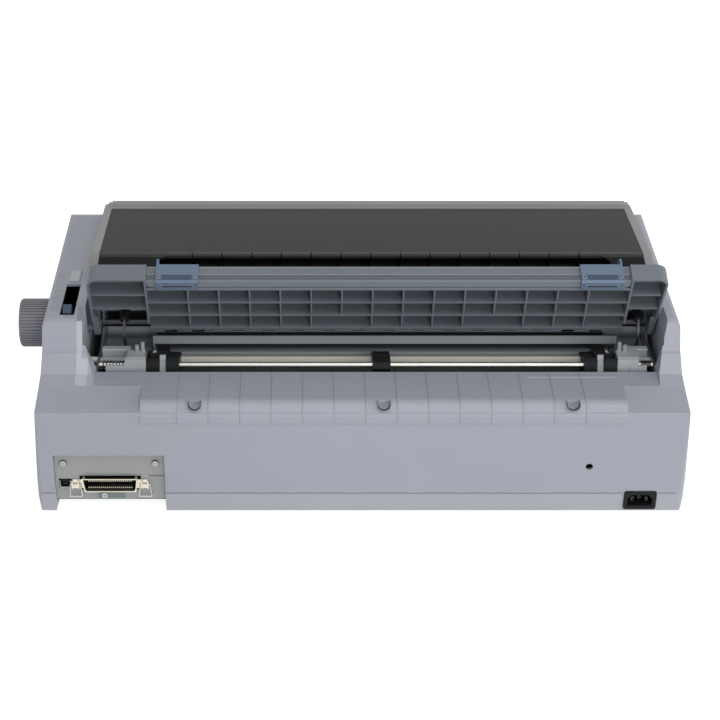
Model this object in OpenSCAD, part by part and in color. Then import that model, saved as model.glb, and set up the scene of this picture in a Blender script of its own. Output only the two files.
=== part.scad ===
// Wide-carriage dot matrix printer with a push tractor and a tilting rear sheet guide.
// Frame: +X is the printer's right, +Y its rear, +Z up. The origin is the centre of the
// overall box at the level that the feet stand on. Millimetres.

/* [Case] */
// Width across the side housings at their top
body_w = 617; // [590:1:640]
// Depth from the front wall to the rear lip
body_d = 402; // [392:1:420]
// Height of the side housings
side_z = 171; // [168:1:176]
// Height of the rear deck
deck_z = 124; // [122:0.5:126]
// Height of the seam between the lower and upper case
seam_z = 23; // [21:0.5:25]
// Height of the rubber feet
foot_h = 2.5; // [2:0.5:4]
// Wall thickness of the case mouldings
wall = 3; // [2:0.1:3.5]
// How far each side wall leans out from its top to the seam
flare = 8; // [5:0.5:9]
// Radius of the upright corners
corner_r = 9; // [5:0.5:12]
// Width of the right housing, which holds the gear train and the lever
right_w = 37; // [36:0.5:40]
// Width of the left housing
left_w = 13.5; // [13:0.5:16]
// Height of the front wall below the sloping front
front_z = 103; // [100:1:106]

/* [Rear deck] */
// Depth of the deck from its front edge to the rear lip
deck_d = 63; // [58:1:66]
// Width of the rounded paper lip
lip_w = 464.5; // [430:0.5:480]
// Radius of the paper lip
lip_r = 14; // [10:0.5:16]
// Height of the rounded lip's lower edge below the deck
lip_h = 19.7; // [18:0.1:26]
// Height of the paper ribs on the deck
rib_h = 0.5; // [0.3:0.1:0.8]
// Pitch of the paper ribs, shared by the sheet guide and the cover
rib_pitch = 30; // [28:0.5:32]
// Offset of the paper's centre line from the middle of the well
paper_shift = -8.75; // [-12:0.25:-6]

/* [Printer cover] */
// Depth of the cover from front to rear
cover_d = 161; // [156:1:164]
// Rise of the cover's crease above the housings
cover_rise = 26.8; // [24:0.1:30]
// Width of the frame beside the window
cover_rim = 8; // [6:0.5:12]
// Thickness of the smoked window
window_t = 2.5; // [2:0.1:3]

/* [Sheet guide] */
// Length of the guide from its hinge to its free end
guide_len = 82.7; // [80:0.1:85]
// Depth of the guide from its ribs to its outer skin
guide_t = 19.7; // [18:0.1:20]
// Thickness of the guide's skin
guide_skin = 2.5; // [2:0.1:3]
// Thickness of the stiffening ribs
guide_rib = 1.6; // [1.2:0.1:2]
// Angle of the raised guide above the deck
guide_angle = 69; // [66:0.5:72]
// Width of the right end block
block_r_w = 57; // [50:0.5:60]
// Width of the left end block
block_l_w = 32; // [28:0.5:36]
// How far the right end block widens towards its free end
block_r_lean = 1; // [0:0.5:2]
// How far the left end block widens towards its free end
block_l_lean = 4.5; // [0:0.5:5]
// Width of an edge guide
edge_w = 41; // [36:0.5:44]

/* [Platen and gears] */
// Radius of the rubber platen
platen_r = 17; // [15:0.1:17.5]
// Length of the rubber platen
platen_len = 450; // [430:1:460]
// Radius of the platen shaft
shaft_r = 4; // [3:0.1:4.5]
// Height of the platen's axis
platen_z = 131; // [129:0.5:133]
// Radius of the knob
knob_r = 24.5; // [20:0.5:26]
// How far the knob stands out of the side
knob_out = 34; // [28:0.5:38]
// Gear module
gear_m = 1.5; // [1.4:0.05:1.6]
// Teeth on the platen gear
platen_teeth = 40; // [38:1:42]
// Teeth on the tractor gear
tractor_teeth = 24; // [22:1:26]
// Width of the gear faces
gear_w = 6; // [4:0.5:6.5]

/* [Tractor] */
// Side of the square drive shaft
drive_s = 7; // [6:0.1:7.5]
// Radius of the round tractor rod
rod_r = 3; // [2.5:0.1:3.5]
// Distance between the drive shaft and the rod
rod_gap = 25; // [24:0.1:27]
// Slope of the tractor down into the paper slot
tractor_tilt = 20; // [18:0.5:22]
// Width of a tractor unit
unit_w = 32; // [28:0.5:34]
// Distance between the two tractor units
unit_span = 430.5; // [410:0.5:436]
// Half the height of a tractor unit
unit_half = 10.5; // [10:0.1:11]
// Width of the centre paper support
support_w = 17.5; // [14:0.5:22]

/* [Rear connectors] */
// Width of the interface recess
recess_w = 107.5; // [104:0.5:112]
// Height of the interface recess's top edge
recess_top = 67; // [65:0.5:72]
// Depth of the interface recess
recess_d = 6.8; // [6:0.1:9]
// Distance from the recess to the right side of the case
recess_in = 10; // [9:0.5:14]
// Width of the power inlet's bezel
inlet_w = 32; // [30:0.5:34]
// Height of the power inlet's bezel
inlet_h = 21; // [19:0.5:22]
// Radius of the small hole in the rear wall
port_r = 3.6; // [2:0.1:5]

/* [Front] */
// Width of the front cover
door_w = 484; // [440:1:500]
// Height of the front cover
door_h = 62; // [54:0.5:64]
// Size of a panel button along the panel
button_w = 22; // [16:0.5:26]

/* [Hidden] */
$fn = 48;
eps = 0.01;
gap = 0.3;           // clearance between pieces that seat on each other
run = 0.06;          // radial clearance of a running shaft
sleeve_r = rod_r + 1;  // sleeve of a tractor that its lock lever turns on
swing = 1;           // clearance beside a cover that swings
cover_clear = 28.5;  // from the rear edge of the cover to the guide's hinge

// Overall box and the main planes
total_w = body_w + flare + knob_out;
x_r = total_w / 2 - knob_out;
x_l = x_r - body_w;
y_b = body_d / 2;
y_f = -body_d / 2;
wall_y = y_b - rib_h - 0.7;
well_x1 = x_r - right_w;
well_x0 = x_l + left_w;
paper_x = (well_x0 + well_x1) / 2 + paper_shift;
deck_y = y_b - deck_d;
rib_x0 = paper_x + 9.3;
lip_x0 = paper_x - lip_w / 2;
lip_x1 = paper_x + lip_w / 2;
deck_ribs = [for (k = [-7 : 6]) rib_x0 + (k + 0.25) * rib_pitch];
guide_ribs = [for (k = [-7 : 6]) rib_x0 + k * rib_pitch];

// The platen and the guide's hinge place the cover, and the cover ends the roof
platen_y = y_b - 148;
hinge_y = platen_y + 25;
cover_y1 = hinge_y - cover_clear;
cover_y0 = cover_y1 - cover_d;
roof_y0 = cover_y0 + 1.5;
slope_y1 = cover_y0 - 4.5;

// Side view of the housings, from the front foot of the upper case round to the front
profile = [
    [y_f, seam_z], [wall_y, seam_z], [wall_y, deck_z - 8],
    [y_b - 35, deck_z - 0.5], [y_b - 51, deck_z + 4.5], [y_b - 65.6, deck_z + 19.6],
    [y_b - 68, deck_z + 20.6],
    [y_b - 82, side_z - 2], [y_b - 86, side_z],
    [roof_y0, side_z], [slope_y1, side_z - 1.4],
    [y_f + 8, front_z + 15], [y_f + 2, front_z + 8], [y_f, front_z]
];
slope_top = [slope_y1, side_z - 1.4];
slope_foot = [y_f + 8, front_z + 15];
slope_angle = atan2(slope_top.y - slope_foot.y, slope_top.x - slope_foot.x);

// Platen, tractor and hinge axes as [y, z]
platen = [platen_y, platen_z];
gear_gap = gear_m * (platen_teeth + tractor_teeth) / 2;
drive = platen + gear_gap * [cos(21.6), -sin(21.6)];
rod = drive + rod_gap * [cos(tractor_tilt), sin(tractor_tilt)];
hinge = [hinge_y, platen_z + 9];
guide_z0 = -8.7;                    // the guide's rib edges, below its axis
guide_z1 = guide_z0 + guide_t;      // the guide's outer skin, above its axis
guide_x1 = well_x1 - 6;
guide_x0 = well_x0 + 2.5;
grid_x1 = guide_x1 - block_r_w;
grid_x0 = guide_x0 + block_l_w;
grid_y0 = 9.3;
grid_y1 = guide_len - 15;
plate_end = guide_len - 4;
arm_x = [guide_x1 - block_r_w / 2 - 3, guide_x0 + block_l_w / 2 + 1];
arm_r0 = 16.5;

cover_x0 = well_x0 + swing;
cover_x1 = well_x1 - swing;
cover_pin = [cover_y1 - 11.5, side_z - 9];
crease_y = cover_y1 - 22.5;
crease_z = side_z + cover_rise;
window_y0 = cover_y0 + 17;
exit_y0 = crease_y + 5.5;
front_top_z = side_z + 15;

// Inner frame
frame_t = 2;
frame_x1 = well_x1 - 13.5;
frame_x0 = well_x0 + 7;
plate_z = seam_z - 3.5;
carriage_axis = [platen_y - 71, platen_z - 13];
carriage_x = well_x0 + 82;
head_y1 = platen_y - platen_r - 1.6;
rail = [platen_y - 118, platen_z - 23];

// Gear train and lever inside the right housing
gear_x = well_x1 + wall + 0.5;
slot_x0 = x_r - 27.5;
slot_x1 = x_r - 13.3;
slot_y0 = platen_y - 8.5;
slot_y1 = slot_y0 + 63.2;
lever_pin = [platen_y + 27, platen_z - 25];
lever_x = (slot_x0 + slot_x1) / 2;
lever_w = 8;
lever_rest = 17;
knob_gap = 0.8;

// Tractor units
unit_x = [paper_x + unit_span / 2, paper_x - unit_span / 2];
flap_t = 2.6;
end_x1 = frame_x1 - gap;
end_x0 = frame_x0 + gap;
end_room = [46.55, 35.55];   // room beside each unit that the end mounts are drawn for

// Interface recess and the sockets
recess_x1 = x_r - recess_in;
recess_x0 = recess_x1 - recess_w;
recess_y = wall_y - recess_d;
floor_z = foot_h + wall;
plate_t = 1.2;
plate_step = 0.6;      // set-back of the plate's lower part
port_x = recess_x0 + 54;
port_z = seam_z + 8;
usb_x = recess_x1 - 9.5;
usb_z = seam_z + 7.5;
shell_out = 4.5;
board_z = seam_z - 1;
inlet_x = x_l + 35.5;
inlet_z = foot_h + inlet_h / 2 + 2;
bail_pin_x = [port_x + 34, port_x - 34];
recess_low = seam_z - 10.6;   // lower edge of the interface plate, open below

// Front
switch_x = x_l + 26;
switch_clear = 20;    // from the switch's centre to the front cover
door_x = switch_x + switch_clear + door_w / 2;
door_z0 = seam_z + 10;
door_t = 3;
door_pin = [y_f + 5, door_z0 + 5];
panel_x = well_x1 - 62;
panel_w = 104;
panel_d = 46;
panel_mid = (slope_top + slope_foot) / 2;
button_xs = [for (k = [0 : 3]) panel_x - 36 + 24 * k];
switch_z = seam_z + 45;
switch_pin = [y_f + 7, switch_z];

// ---------------------------------------------------------------- helpers

// A [y, z] outline drawn from x0 to x1
module along_x(x0, x1) translate([x0, 0, 0]) rotate([90, 0, 90]) linear_extrude(x1 - x0) children();
// An [x, z] outline drawn from y0 to y1
module along_y(y0, y1) translate([0, y1, 0]) rotate([90, 0, 0]) linear_extrude(y1 - y0) children();
module block(lo, hi) translate(lo) cube(hi - lo);
module rod_x(x0, x1, at, r) translate([x0, at.x, at.y]) rotate([0, 90, 0]) cylinder(h = x1 - x0, r = r);
module rod_y(y0, y1, x, z, r) translate([x, y1, z]) rotate([90, 0, 0]) cylinder(h = y1 - y0, r = r);

// Moves every edge of a counter-clockwise outline inwards by d
function unit(v) = v / norm(v);
function left(v) = [-v.y, v.x];
function inset(p, d) = [for (i = [0 : len(p) - 1])
    let (n = len(p),
         a = left(unit(p[i] - p[(i + n - 1) % n])),
         b = left(unit(p[(i + 1) % n] - p[i])))
    p[i] + d * (a + b) / (1 + a * b)];
function arc(c, r, a0, a1, n) = [for (i = [0 : n]) let (a = a0 + (a1 - a0) * i / n)
    c + r * [cos(a), sin(a)]];

// A rectangle with true round corners
module round_rect(w, d, r) {
    square([w - 2 * r, d], center = true);
    square([w, d - 2 * r], center = true);
    for (sx = [-1, 1], sy = [-1, 1])
        translate([sx * (w / 2 - r), sy * (d / 2 - r)]) circle(r);
}

// Upright hull that the case mouldings stay inside, with leaning sides and round corners
toe = 3;              // how far the lower case draws in to the bottom
side_out = 2.4;       // how far the side walls stand out below their round top edge
side_bend = side_z - 30;   // height from which they lean out
module case_envelope(t = 0) {
    base_w = body_w + 2 * flare;
    intersection() {
        along_y(y_f, y_b) polygon([
            [x_l - flare + toe + t, foot_h], [x_r + flare - toe - t, foot_h],
            [x_r + flare - toe / 6 - t, seam_z - 6], [x_r + flare - t, seam_z],
            [x_r + side_out - t, side_bend], [x_r + side_out - t, side_z - 5.5],
            [x_r + 1 - t, side_z - 1.6], [x_r - 2.6 - t, side_z], [x_r - 3.6 - t, side_z + 1],
            [x_l + 3.6 + t, side_z + 1], [x_l + 2.6 + t, side_z], [x_l - 1 + t, side_z - 1.6],
            [x_l - side_out + t, side_z - 5.5], [x_l - side_out + t, side_bend],
            [x_l - flare + t, seam_z], [x_l - flare + toe / 6 + t, seam_z - 6]]);
        translate([(x_l + x_r) / 2, 0, 0]) linear_extrude(side_z + 1)
            round_rect(base_w - 2 * t, body_d - 2 * t, corner_r);
    }
}

// Gear with straight-sided teeth drawn through the involute's root and tip points
module gear_2d(teeth, m, backlash = 0.18) {
    pr = teeth * m / 2;
    tip_r = pr + 0.92 * m;
    root_r = pr - 1.2 * m;
    half = 90 / teeth - backlash / pr * 90 / PI;
    base_r = pr * cos(20);
    function inv(r) = r <= base_r ? 0 : let (a = acos(base_r / r)) tan(a) * 180 / PI - a;
    function at(r) = half + inv(pr) - inv(r);
    polygon([for (i = [0 : teeth - 1], p = [
        [root_r, -at(base_r)], [base_r + 0.3 * m, -at(base_r + 0.3 * m)], [tip_r, -at(tip_r)],
        [tip_r, at(tip_r)], [base_r + 0.3 * m, at(base_r + 0.3 * m)], [root_r, at(base_r)]])
        let (a = i * 360 / teeth + p.y) p.x * [cos(a), sin(a)]]);
}

// Places the sheet guide's own frame: y runs from the hinge to the free end, z out of the skin
module on_guide() translate([0, hinge.x, hinge.y]) rotate([guide_angle, 0, 0]) children();
// Places the tractor's own frame: y runs from the drive shaft to the rod, z up out of the paper path
module on_tractor() translate([0, drive.x, drive.y]) rotate([tractor_tilt, 0, 0]) children();
// Places the sloping front panel's own frame: y runs up the slope, z out of it
module on_panel() translate([panel_x, panel_mid.x, panel_mid.y]) rotate([slope_angle, 0, 0]) children();

// ---------------------------------------------------------------- case

// Foot of each inner chamfer on the deck, and its top edge on the housing
cheek_in = [well_x1 - 12, well_x0 + 7];
cheek_top = [well_x1 + 6, well_x0 - 3.5];
cheek_y0 = deck_y - 8;
slope_y0 = deck_y - 46;
ledge = 2.5;          // strip of the roof that the closed cover rests on
dimple_x = [for (k = [-1 : 1]) paper_x + 6 * k * rib_pitch];
knob_x0 = x_r + side_out + knob_gap
    + (flare - side_out) * (side_bend - platen_z + knob_r) / (side_bend - seam_z);

module case_solid() intersection() {
    case_envelope();
    along_x(x_l - flare, x_r + flare) polygon(profile);
}

module case_cavity() intersection() {
    case_envelope(wall);
    along_x(x_l - flare, x_r + flare) {
        polygon(inset(profile, wall));
        polygon([[y_f + wall, seam_z - 1], [wall_y - wall, seam_z - 1],
                 [wall_y - wall, seam_z + 2 * wall], [y_f + wall, seam_z + 2 * wall]]);
    }
}

// Walls of the well, hanging from the housings, with the sloping cheeks beside the deck
module well_walls() {
    for (x = [well_x1, well_x0 - wall])
        block([x, cover_y0 - wall, seam_z + 43], [x + wall, deck_y, side_z]);
    block([well_x0 - wall, cover_y0 - wall, deck_z + 2], [well_x1 + wall, cover_y0, side_z]);
    for (i = [0, 1]) {
        out = i == 0 ? wall : -wall;
        well_x = i == 0 ? well_x1 : well_x0;
        along_y(cheek_y0, deck_y + 32) cheek_section(i, out);
        // above the well only the part inside the housing, closed towards the front
        intersection() {
            along_y(slope_y0 - wall, cheek_y0 + 1) cheek_section(i, out);
            block([well_x - (i == 0 ? 0 : 20), slope_y0 - wall, deck_z],
                [well_x + (i == 0 ? 20 : 0), deck_y, side_z]);
        }
        block([min(well_x, cheek_top[i] + out), slope_y0 - wall, deck_z + 20],
              [max(well_x, cheek_top[i] + out), slope_y0, side_z]);
        // step where the slope meets the end of the deck
        block([min(cheek_in[i], well_x + out), cheek_y0, deck_z - 16],
              [max(cheek_in[i], well_x + out), cheek_y0 + wall, deck_z + 6]);
    }
}
module cheek_section(i, out) polygon([
    [cheek_in[i], deck_z - wall], [cheek_in[i] + out, deck_z - wall],
    [cheek_top[i] + out, side_z], [cheek_top[i], side_z], [cheek_in[i], deck_z]]);

// Everything above the deck and the mechanism that the roof would cover
module well_opening() {
    block([well_x0, cover_y0 + ledge, seam_z], [well_x1, cheek_y0, side_z + 1]);
    along_y(slope_y0, y_b + 1) polygon([
        [cheek_in[0], deck_z], [cheek_top[0], side_z], [cheek_top[0], side_z + 2],
        [cheek_top[1], side_z + 2], [cheek_top[1], side_z], [cheek_in[1], deck_z]]);
}

module deck() {
    block([cheek_in[1] - wall, deck_y, deck_z - wall], [cheek_in[0] + wall, y_b - 36.6, deck_z]);
    block([lip_x0, deck_y, deck_z - wall], [lip_x1, y_b - lip_r, deck_z]);
    // ridge beside the left tractor
    block([paper_x - 227.5, deck_y + 9, deck_z - eps], [paper_x - 140.5, deck_y + 10.2, deck_z + 0.7]);
    along_x(cheek_in[1], cheek_in[0]) polygon([
        [deck_y, deck_z], [deck_y - 4, deck_z - 7], [deck_y - 4, deck_z - 22],
        [deck_y - 4 + wall, deck_z - 22], [deck_y - 4 + wall, deck_z - 8], [deck_y + 2, deck_z - wall]]);
    // rounded lip
    lip_y = y_b - rib_h;
    along_x(lip_x0, lip_x1) polygon(concat(
        arc([lip_y - lip_r, deck_z - lip_r], lip_r, 90, 0, 8),
        [[lip_y, deck_z - lip_h], [wall_y - wall, deck_z - lip_h],
         [wall_y - wall, deck_z - lip_r], [lip_y - lip_r, deck_z - wall]]));
    // paper ribs over the deck and round the lip
    for (x = deck_ribs) along_x(x - 0.5, x + 0.5) polygon(concat(
        arc([lip_y - lip_r, deck_z - lip_r], lip_r + rib_h, 90, 0, 8),
        [[y_b, deck_z - lip_h], [lip_y - 1, deck_z - lip_h],
         [lip_y - lip_r, deck_z - wall], [deck_y + 3, deck_z - wall], [deck_y + 3, deck_z + rib_h]]));
}

module upper_case() color("#a3a5ac") difference() {
    union() {
        difference() {
            union() {
                difference() {
                    case_solid();
                    case_cavity();
                }
                intersection() {
                    case_solid();
                    union() {
                        well_walls();
                        // boxes behind the interface recess and the front cover
                        block([recess_x0 - wall, recess_y - wall, seam_z],
                              [recess_x1 + wall, wall_y, recess_top + wall]);
                        block([door_x - door_w / 2 - wall, y_f, door_z0 - 2 * wall],
                              [door_x + door_w / 2 + wall, y_f + 14, door_z0 + door_h + wall]);
                    }
                }
            }
            well_opening();
        }
        intersection() {
            case_envelope();
            deck();
        }
        block([slot_x0 + 2, slot_y0 - 28, side_z - eps], [slot_x1 - 2, slot_y0 - 3, side_z + 1.4]);
        // ears and pin of the power switch, and the pin of the release lever in its boss
        for (s = [-1, 1]) block([switch_x + s * 12 - 1.2, y_f + wall - eps, switch_z - 5],
                                [switch_x + s * 12 + 1.2, switch_pin.x + 4, switch_z + 5]);
        rod_x(switch_x - 12, switch_x + 12, switch_pin, 1.5);
        rod_x(lever_x - lever_w / 2 - 1.5, x_r + 2, lever_pin, 3);
        rod_x(lever_x + lever_w / 2 + 0.5, x_r + 2, lever_pin, 7);
    }
    // interface recess, with a raised upper edge
    block([recess_x0, recess_y, seam_z - 1], [recess_x1, y_b + 1, recess_top]);
    block([recess_x0 + 6, recess_y - wall - 1, seam_z - 1], [recess_x1 - 3.2, y_b, recess_top - 6]);
    // front opening behind the front cover
    block([door_x - door_w / 2 - 0.8, y_f - 1, door_z0 - 0.8],
          [door_x + door_w / 2 + 0.8, y_f + door_t + gap, door_z0 + door_h + 0.8]);
    block([door_x - door_w / 2 + 12, y_f - 1, door_z0 + 12],
          [door_x + door_w / 2 - 12, y_f + 30, door_z0 + door_h - 5]);
    block([door_x - door_w / 2 - 0.8, y_f - 1, door_z0 - 0.8],
          [door_x + door_w / 2 + 0.8, y_f + 13, door_z0 + 12.5]);
    rod_x(door_x - door_w / 2 - 0.8, door_x + door_w / 2 + 0.8, door_pin, 7.7);
    for (sx = [-1, 1]) rod_x(door_x + sx * (door_w / 2 + 1) - 3, door_x + sx * (door_w / 2 + 1) + 3,
                             door_pin, 2 + run);
    // shafts and hinge pins
    rod_x(well_x1 - 1, x_r + flare + 1, platen, shaft_r + 1);
    rod_x(well_x1 - 1, well_x1 + wall + 1, drive, 6);
    rod_x(well_x0 - wall - 1, well_x1 + wall + 1, hinge, 3 + run);
    rod_x(well_x0 - wall - 1, well_x1 + wall + 1, cover_pin, 2.5 + run);
    // lever slot
    block([slot_x0, slot_y0, side_z - wall - 1], [slot_x1, slot_y1, side_z + 1]);
    // grip lines beside the slot
    for (k = [0 : 15]) block([slot_x1 + 2, slot_y0 - 22 + 5 * k, side_z - 0.6],
                             [x_r + 1, slot_y0 - 21 + 5 * k, side_z + 1]);
    // control panel, power switch, inlet and the small rear port
    on_panel() block([-panel_w / 2 - gap, -panel_d / 2 - gap, -2.5],
        [panel_w / 2 + gap, panel_d / 2 + gap, 5]);
    on_panel() block([-panel_w / 2 + 4, -panel_d / 2 + 4, -8], [panel_w / 2 - 4, panel_d / 2 - 4, 1]);
    block([switch_x - 10.8, y_f - 1, switch_z - 8], [switch_x + 10.8, y_f + wall + 1, switch_z + 8]);
    // dimples over the lip
    for (x = dimple_x) rod_y(y_b - 11, y_b + 1, x, deck_z + 1, 6);
    block([inlet_x - inlet_w / 2 + 2, wall_y - wall - 1, seam_z - 1],
          [inlet_x + inlet_w / 2 - 2, y_b + 1, inlet_z + inlet_h / 2 - 2]);
    rod_y(wall_y - wall - 1, y_b + 1, x_l + 88, seam_z + 31, port_r);
}

module lower_case() color("#a0a3aa") difference() {
    union() {
        difference() {
            intersection() {
                case_envelope();
                block([x_l - 10, y_f, foot_h], [x_r + 10, wall_y, seam_z]);
            }
            intersection() {
                case_envelope(wall);
                block([x_l - 10, y_f + wall, floor_z], [x_r + 10, wall_y - wall, seam_z + 1]);
            }
        }
        block([recess_x0 - wall, recess_y - wall, floor_z - eps],
            [recess_x1 + wall, wall_y - wall / 2, seam_z]);
        // bosses under the chassis plate and the boards
        for (x = [frame_x0 + 30, paper_x, frame_x1 - 30], y = [y_f + 60, platen_y - 15])
            translate([x, y, floor_z - eps]) cylinder(h = plate_z - floor_z + eps, r = 5);
        for (x = [recess_x1 - 8, recess_x0 - 60, x_l + 26, x_l + 150], y = [y_b - 30, deck_y - 60])
            translate([x, y, floor_z - eps]) cylinder(h = board_z - floor_z + eps, r = 4);
    }
    block([recess_x0, recess_y, foot_h - 1], [recess_x1, y_b + 1, seam_z + 1]);
    block([recess_x0, recess_y - 4 * wall, foot_h - 1], [recess_x1, y_b + 1, recess_low]);
    block([inlet_x - inlet_w / 2 + 2, wall_y - wall - 1, inlet_z - inlet_h / 2 + 2],
          [inlet_x + inlet_w / 2 - 2, y_b + 1, seam_z + 1]);
}

module rubber_feet() color("#2b2b2d")
    for (x = [x_l + 30, x_r - 30], y = [y_f + 34, y_b - 46]) translate([x, y, 0]) {
        cylinder(h = foot_h, r = 9);
    }

module case_screws() color("#b9bcc0") {
    for (x = [recess_x0 + 9, recess_x1 - 9]) screw_head(x, recess_y + plate_t, recess_top - 12);
    screw_head(port_x + 6, recess_y + 2.2, port_z - 13);
}

// Pan head on the rear side of a wall, with a cross recess
module screw_head(x, y, z) difference() {
    rod_y(y, y + 1.8, x, z, 3);
    block([x - 1.8, y + 1, z - 0.4], [x + 1.8, y + 3, z + 0.4]);
    block([x - 0.4, y + 1, z - 1.8], [x + 0.4, y + 3, z + 1.8]);
}

// ---------------------------------------------------------------- chassis

module base_frame() color("#8e9296") difference() {
    union() {
        block([frame_x0 - frame_t, y_f + 45, plate_z], [frame_x1 + frame_t, platen_y, plate_z + frame_t]);
        block([frame_x0 - frame_t, y_f + 45, plate_z],
            [frame_x1 + frame_t, y_f + 45 + frame_t, plate_z + 25]);
    }
    for (k = [-3 : 3]) block([paper_x + 70 * k - 20, y_f + 90, plate_z - 1],
                             [paper_x + 70 * k + 20, y_f + 125, plate_z + 5]);
}

gap_pin = rail + [4, 34];
motor_axis = [platen_y - 30, seam_z + 43];

// Outline of a chassis cheek as [y, z]
cheek_2d = [
    [y_f + 50, plate_z + frame_t], [platen_y, plate_z + frame_t], [platen_y + 8, seam_z + 49],
        [rod.x + 8.5, seam_z + 61],
    [rod.x + 8.5, rod.y + 2],
    [drive.x - 9, drive.y + 10], [hinge.x - 22, drive.y + 16], [hinge.x - 22, 146],
    [cover_pin.x + 8, 166], [cover_pin.x - 8, 166], [cover_pin.x - 12, 140],
    [gap_pin.x + 10, gap_pin.y + 7], [gap_pin.x - 8, gap_pin.y + 7], [rail.x - 10, rail.y + 16],
        [y_f + 62, seam_z + 43]
];

module side_frames() color("#989ca0") for (x = [frame_x1, frame_x0 - frame_t]) difference() {
    union() {
        along_x(x, x + frame_t) polygon(cheek_2d);
        if (x == frame_x1) rod_x(x - 3.8, x + 1, gap_pin, 2);
    }
    if (x == frame_x1) rod_x(x - 1, x + frame_t + 1, motor_axis, 3);
    rod_x(x - 1, x + frame_t + 1, platen, shaft_r + run);
    rod_x(x - 1, x + frame_t + 1, carriage_axis, 5 + eps);
    rod_x(x - 1, x + frame_t + 1, drive, 3.4 + run);
    block([x - 1, rail.x - 3, rail.y - 5], [x + frame_t + 1, rail.x + 3, rail.y + 5]);
}

module carriage_rod() color("#c9ccd0")
    rod_x(frame_x0 - frame_t - 2, frame_x1 + frame_t + 2, carriage_axis, 5);

module carriage_rail() color("#a9adb1")
    block([frame_x0 - frame_t, rail.x - 3, rail.y - 5], [frame_x1 + frame_t, rail.x + 3, rail.y + 5]);

// Curved trough under the platen with the ramp that leads into it, and the band over the paper slot
module rear_paper_guide() color("#7c8284") {
    trough_r = platen_r + 3;
    ramp = [drive.x - 11.6, drive.y + 3.2];
    along_x(frame_x0 + gap, frame_x1 - gap) polygon(concat(
        [ramp - [0, 6], ramp], arc(platen, trough_r, -75, -140, 10),
        arc(platen, trough_r + 2, -140, -75, 10), [ramp - [1.6, 2.2], ramp - [1.6, 6]]));
    band_x0 = grid_x0 + 3;
    band_x1 = grid_x1 - 1;
    band_low = hinge + [4.2, -16.2];
    band_top = hinge + [1.2, -8.6];
    along_x(band_x0, band_x1) polygon([
        band_low, band_low + [1.6, 0.2], band_top + [1.6, 0.2], band_top]);
    // end plates that carry the band
    for (x = [band_x0, band_x1 - 1.5]) along_x(x, x + 1.5) polygon([
        ramp - [14, 3], ramp - [1, 1], band_low + [1.6, 0.2], band_top + [1.6, 0.2], band_top]);
}

// Dark ribbed bar behind the mouth that the paper leaves through, under the notch of the cover
module exit_guide() color("#2c2a2b") {
    top_z = crease_z - 8.5;
    foot_z = cover_pin.y + 10;
    x0 = lip_x0 + 3;
    x1 = lip_x1 - 10;
    bar_y = cover_pin.x + 6;
    along_x(x0, x1) polygon([
        [bar_y, foot_z + 0.3], [bar_y + 2, foot_z + 0.3], [bar_y + 3, top_z], [bar_y + 1, top_z]]);
    for (x = guide_ribs) if (x > x0 && x < x1) along_x(x - 0.6, x + 0.6) polygon([
        [bar_y + 0.2, foot_z + 0.3], [bar_y + 1.2, top_z], [bar_y - 5, top_z], [bar_y - 5, foot_z + 5]]);
    // end brackets beside the chassis cheeks
    for (s = [0, 1]) {
        xa = s == 0 ? x1 - 6 : frame_x0 + gap;
        xb = s == 0 ? frame_x1 - gap : x0 + 6;
        block([xa, bar_y - 2, foot_z + 0.3], [xb, bar_y + 2, foot_z + 6]);
        xc = s == 0 ? frame_x1 - gap - 3.7 : frame_x0 + gap;
        block([xc, bar_y - 12, foot_z - 16], [xc + 3.7, bar_y + 2, foot_z + 1]);
    }
}

belt_z = carriage_axis.y - 19;
module timing_belt() color("#1f1f20") {
    y = carriage_axis.x - 30;
    pulley_x = [frame_x0 + 32, frame_x1 - 24];
    difference() {
        belt_loop(pulley_x, y, 9, -3, 3);
        belt_loop(pulley_x, y, 7.8, -4, 4);
    }
}
module belt_loop(xs, y, r, z0, z1) translate([0, 0, belt_z]) {
    for (x = xs) translate([x, y, z0]) cylinder(h = z1 - z0, r = r);
    block([xs[0], y - r, z0], [xs[1], y + r, z1]);
}

module carriage_motor() color("#3a3c3e") {
    translate([frame_x0 + 32, carriage_axis.x - 30, plate_z + frame_t]) {
        cylinder(h = 44, r = 21);
        cylinder(h = 50, r = 11);
        cylinder(h = belt_z - plate_z - frame_t + 4, r = 3);
        translate([0, 0, belt_z - plate_z - frame_t - 3.2]) cylinder(h = 6.4, r = 7.5);
    }
    // idler at the far end, on its own post
    translate([frame_x1 - 24, carriage_axis.x - 30, plate_z + frame_t]) {
        cylinder(h = belt_z - plate_z - frame_t + 4, r = 3);
        translate([0, 0, belt_z - plate_z - frame_t - 3.2]) cylinder(h = 6.4, r = 7.5);
    }
}

module feed_motor() color("#3a3c3e") {
    rod_x(frame_x1 - 48, frame_x1 - gap, motor_axis, 21);
    rod_x(frame_x1 - gap - 1, frame_x1 + frame_t + 8, motor_axis, 2.5);
    rod_x(frame_x1 + frame_t + 1, frame_x1 + frame_t + 8, motor_axis, 6);
    block([frame_x1 - 4, motor_axis.x - 21, motor_axis.y - 21],
        [frame_x1 - gap, motor_axis.x + 21, motor_axis.y + 21]);
}

module main_board() color("#3f6b46") {
    block([recess_x0 - 76, deck_y - 70, board_z], [recess_x1 - 2, recess_y - wall - gap, board_z + 1.6]);
    for (k = [0 : 3]) block([recess_x0 - 60 + 38 * k, deck_y - 40, board_z + 1.6],
                            [recess_x0 - 36 + 38 * k, deck_y - 16, board_z + 5]);
    for (k = [0 : 2]) translate([recess_x0 - 40 + 16 * k, deck_y + 6, board_z + 1.6])
        cylinder(h = 18, r = 5);
}

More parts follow.
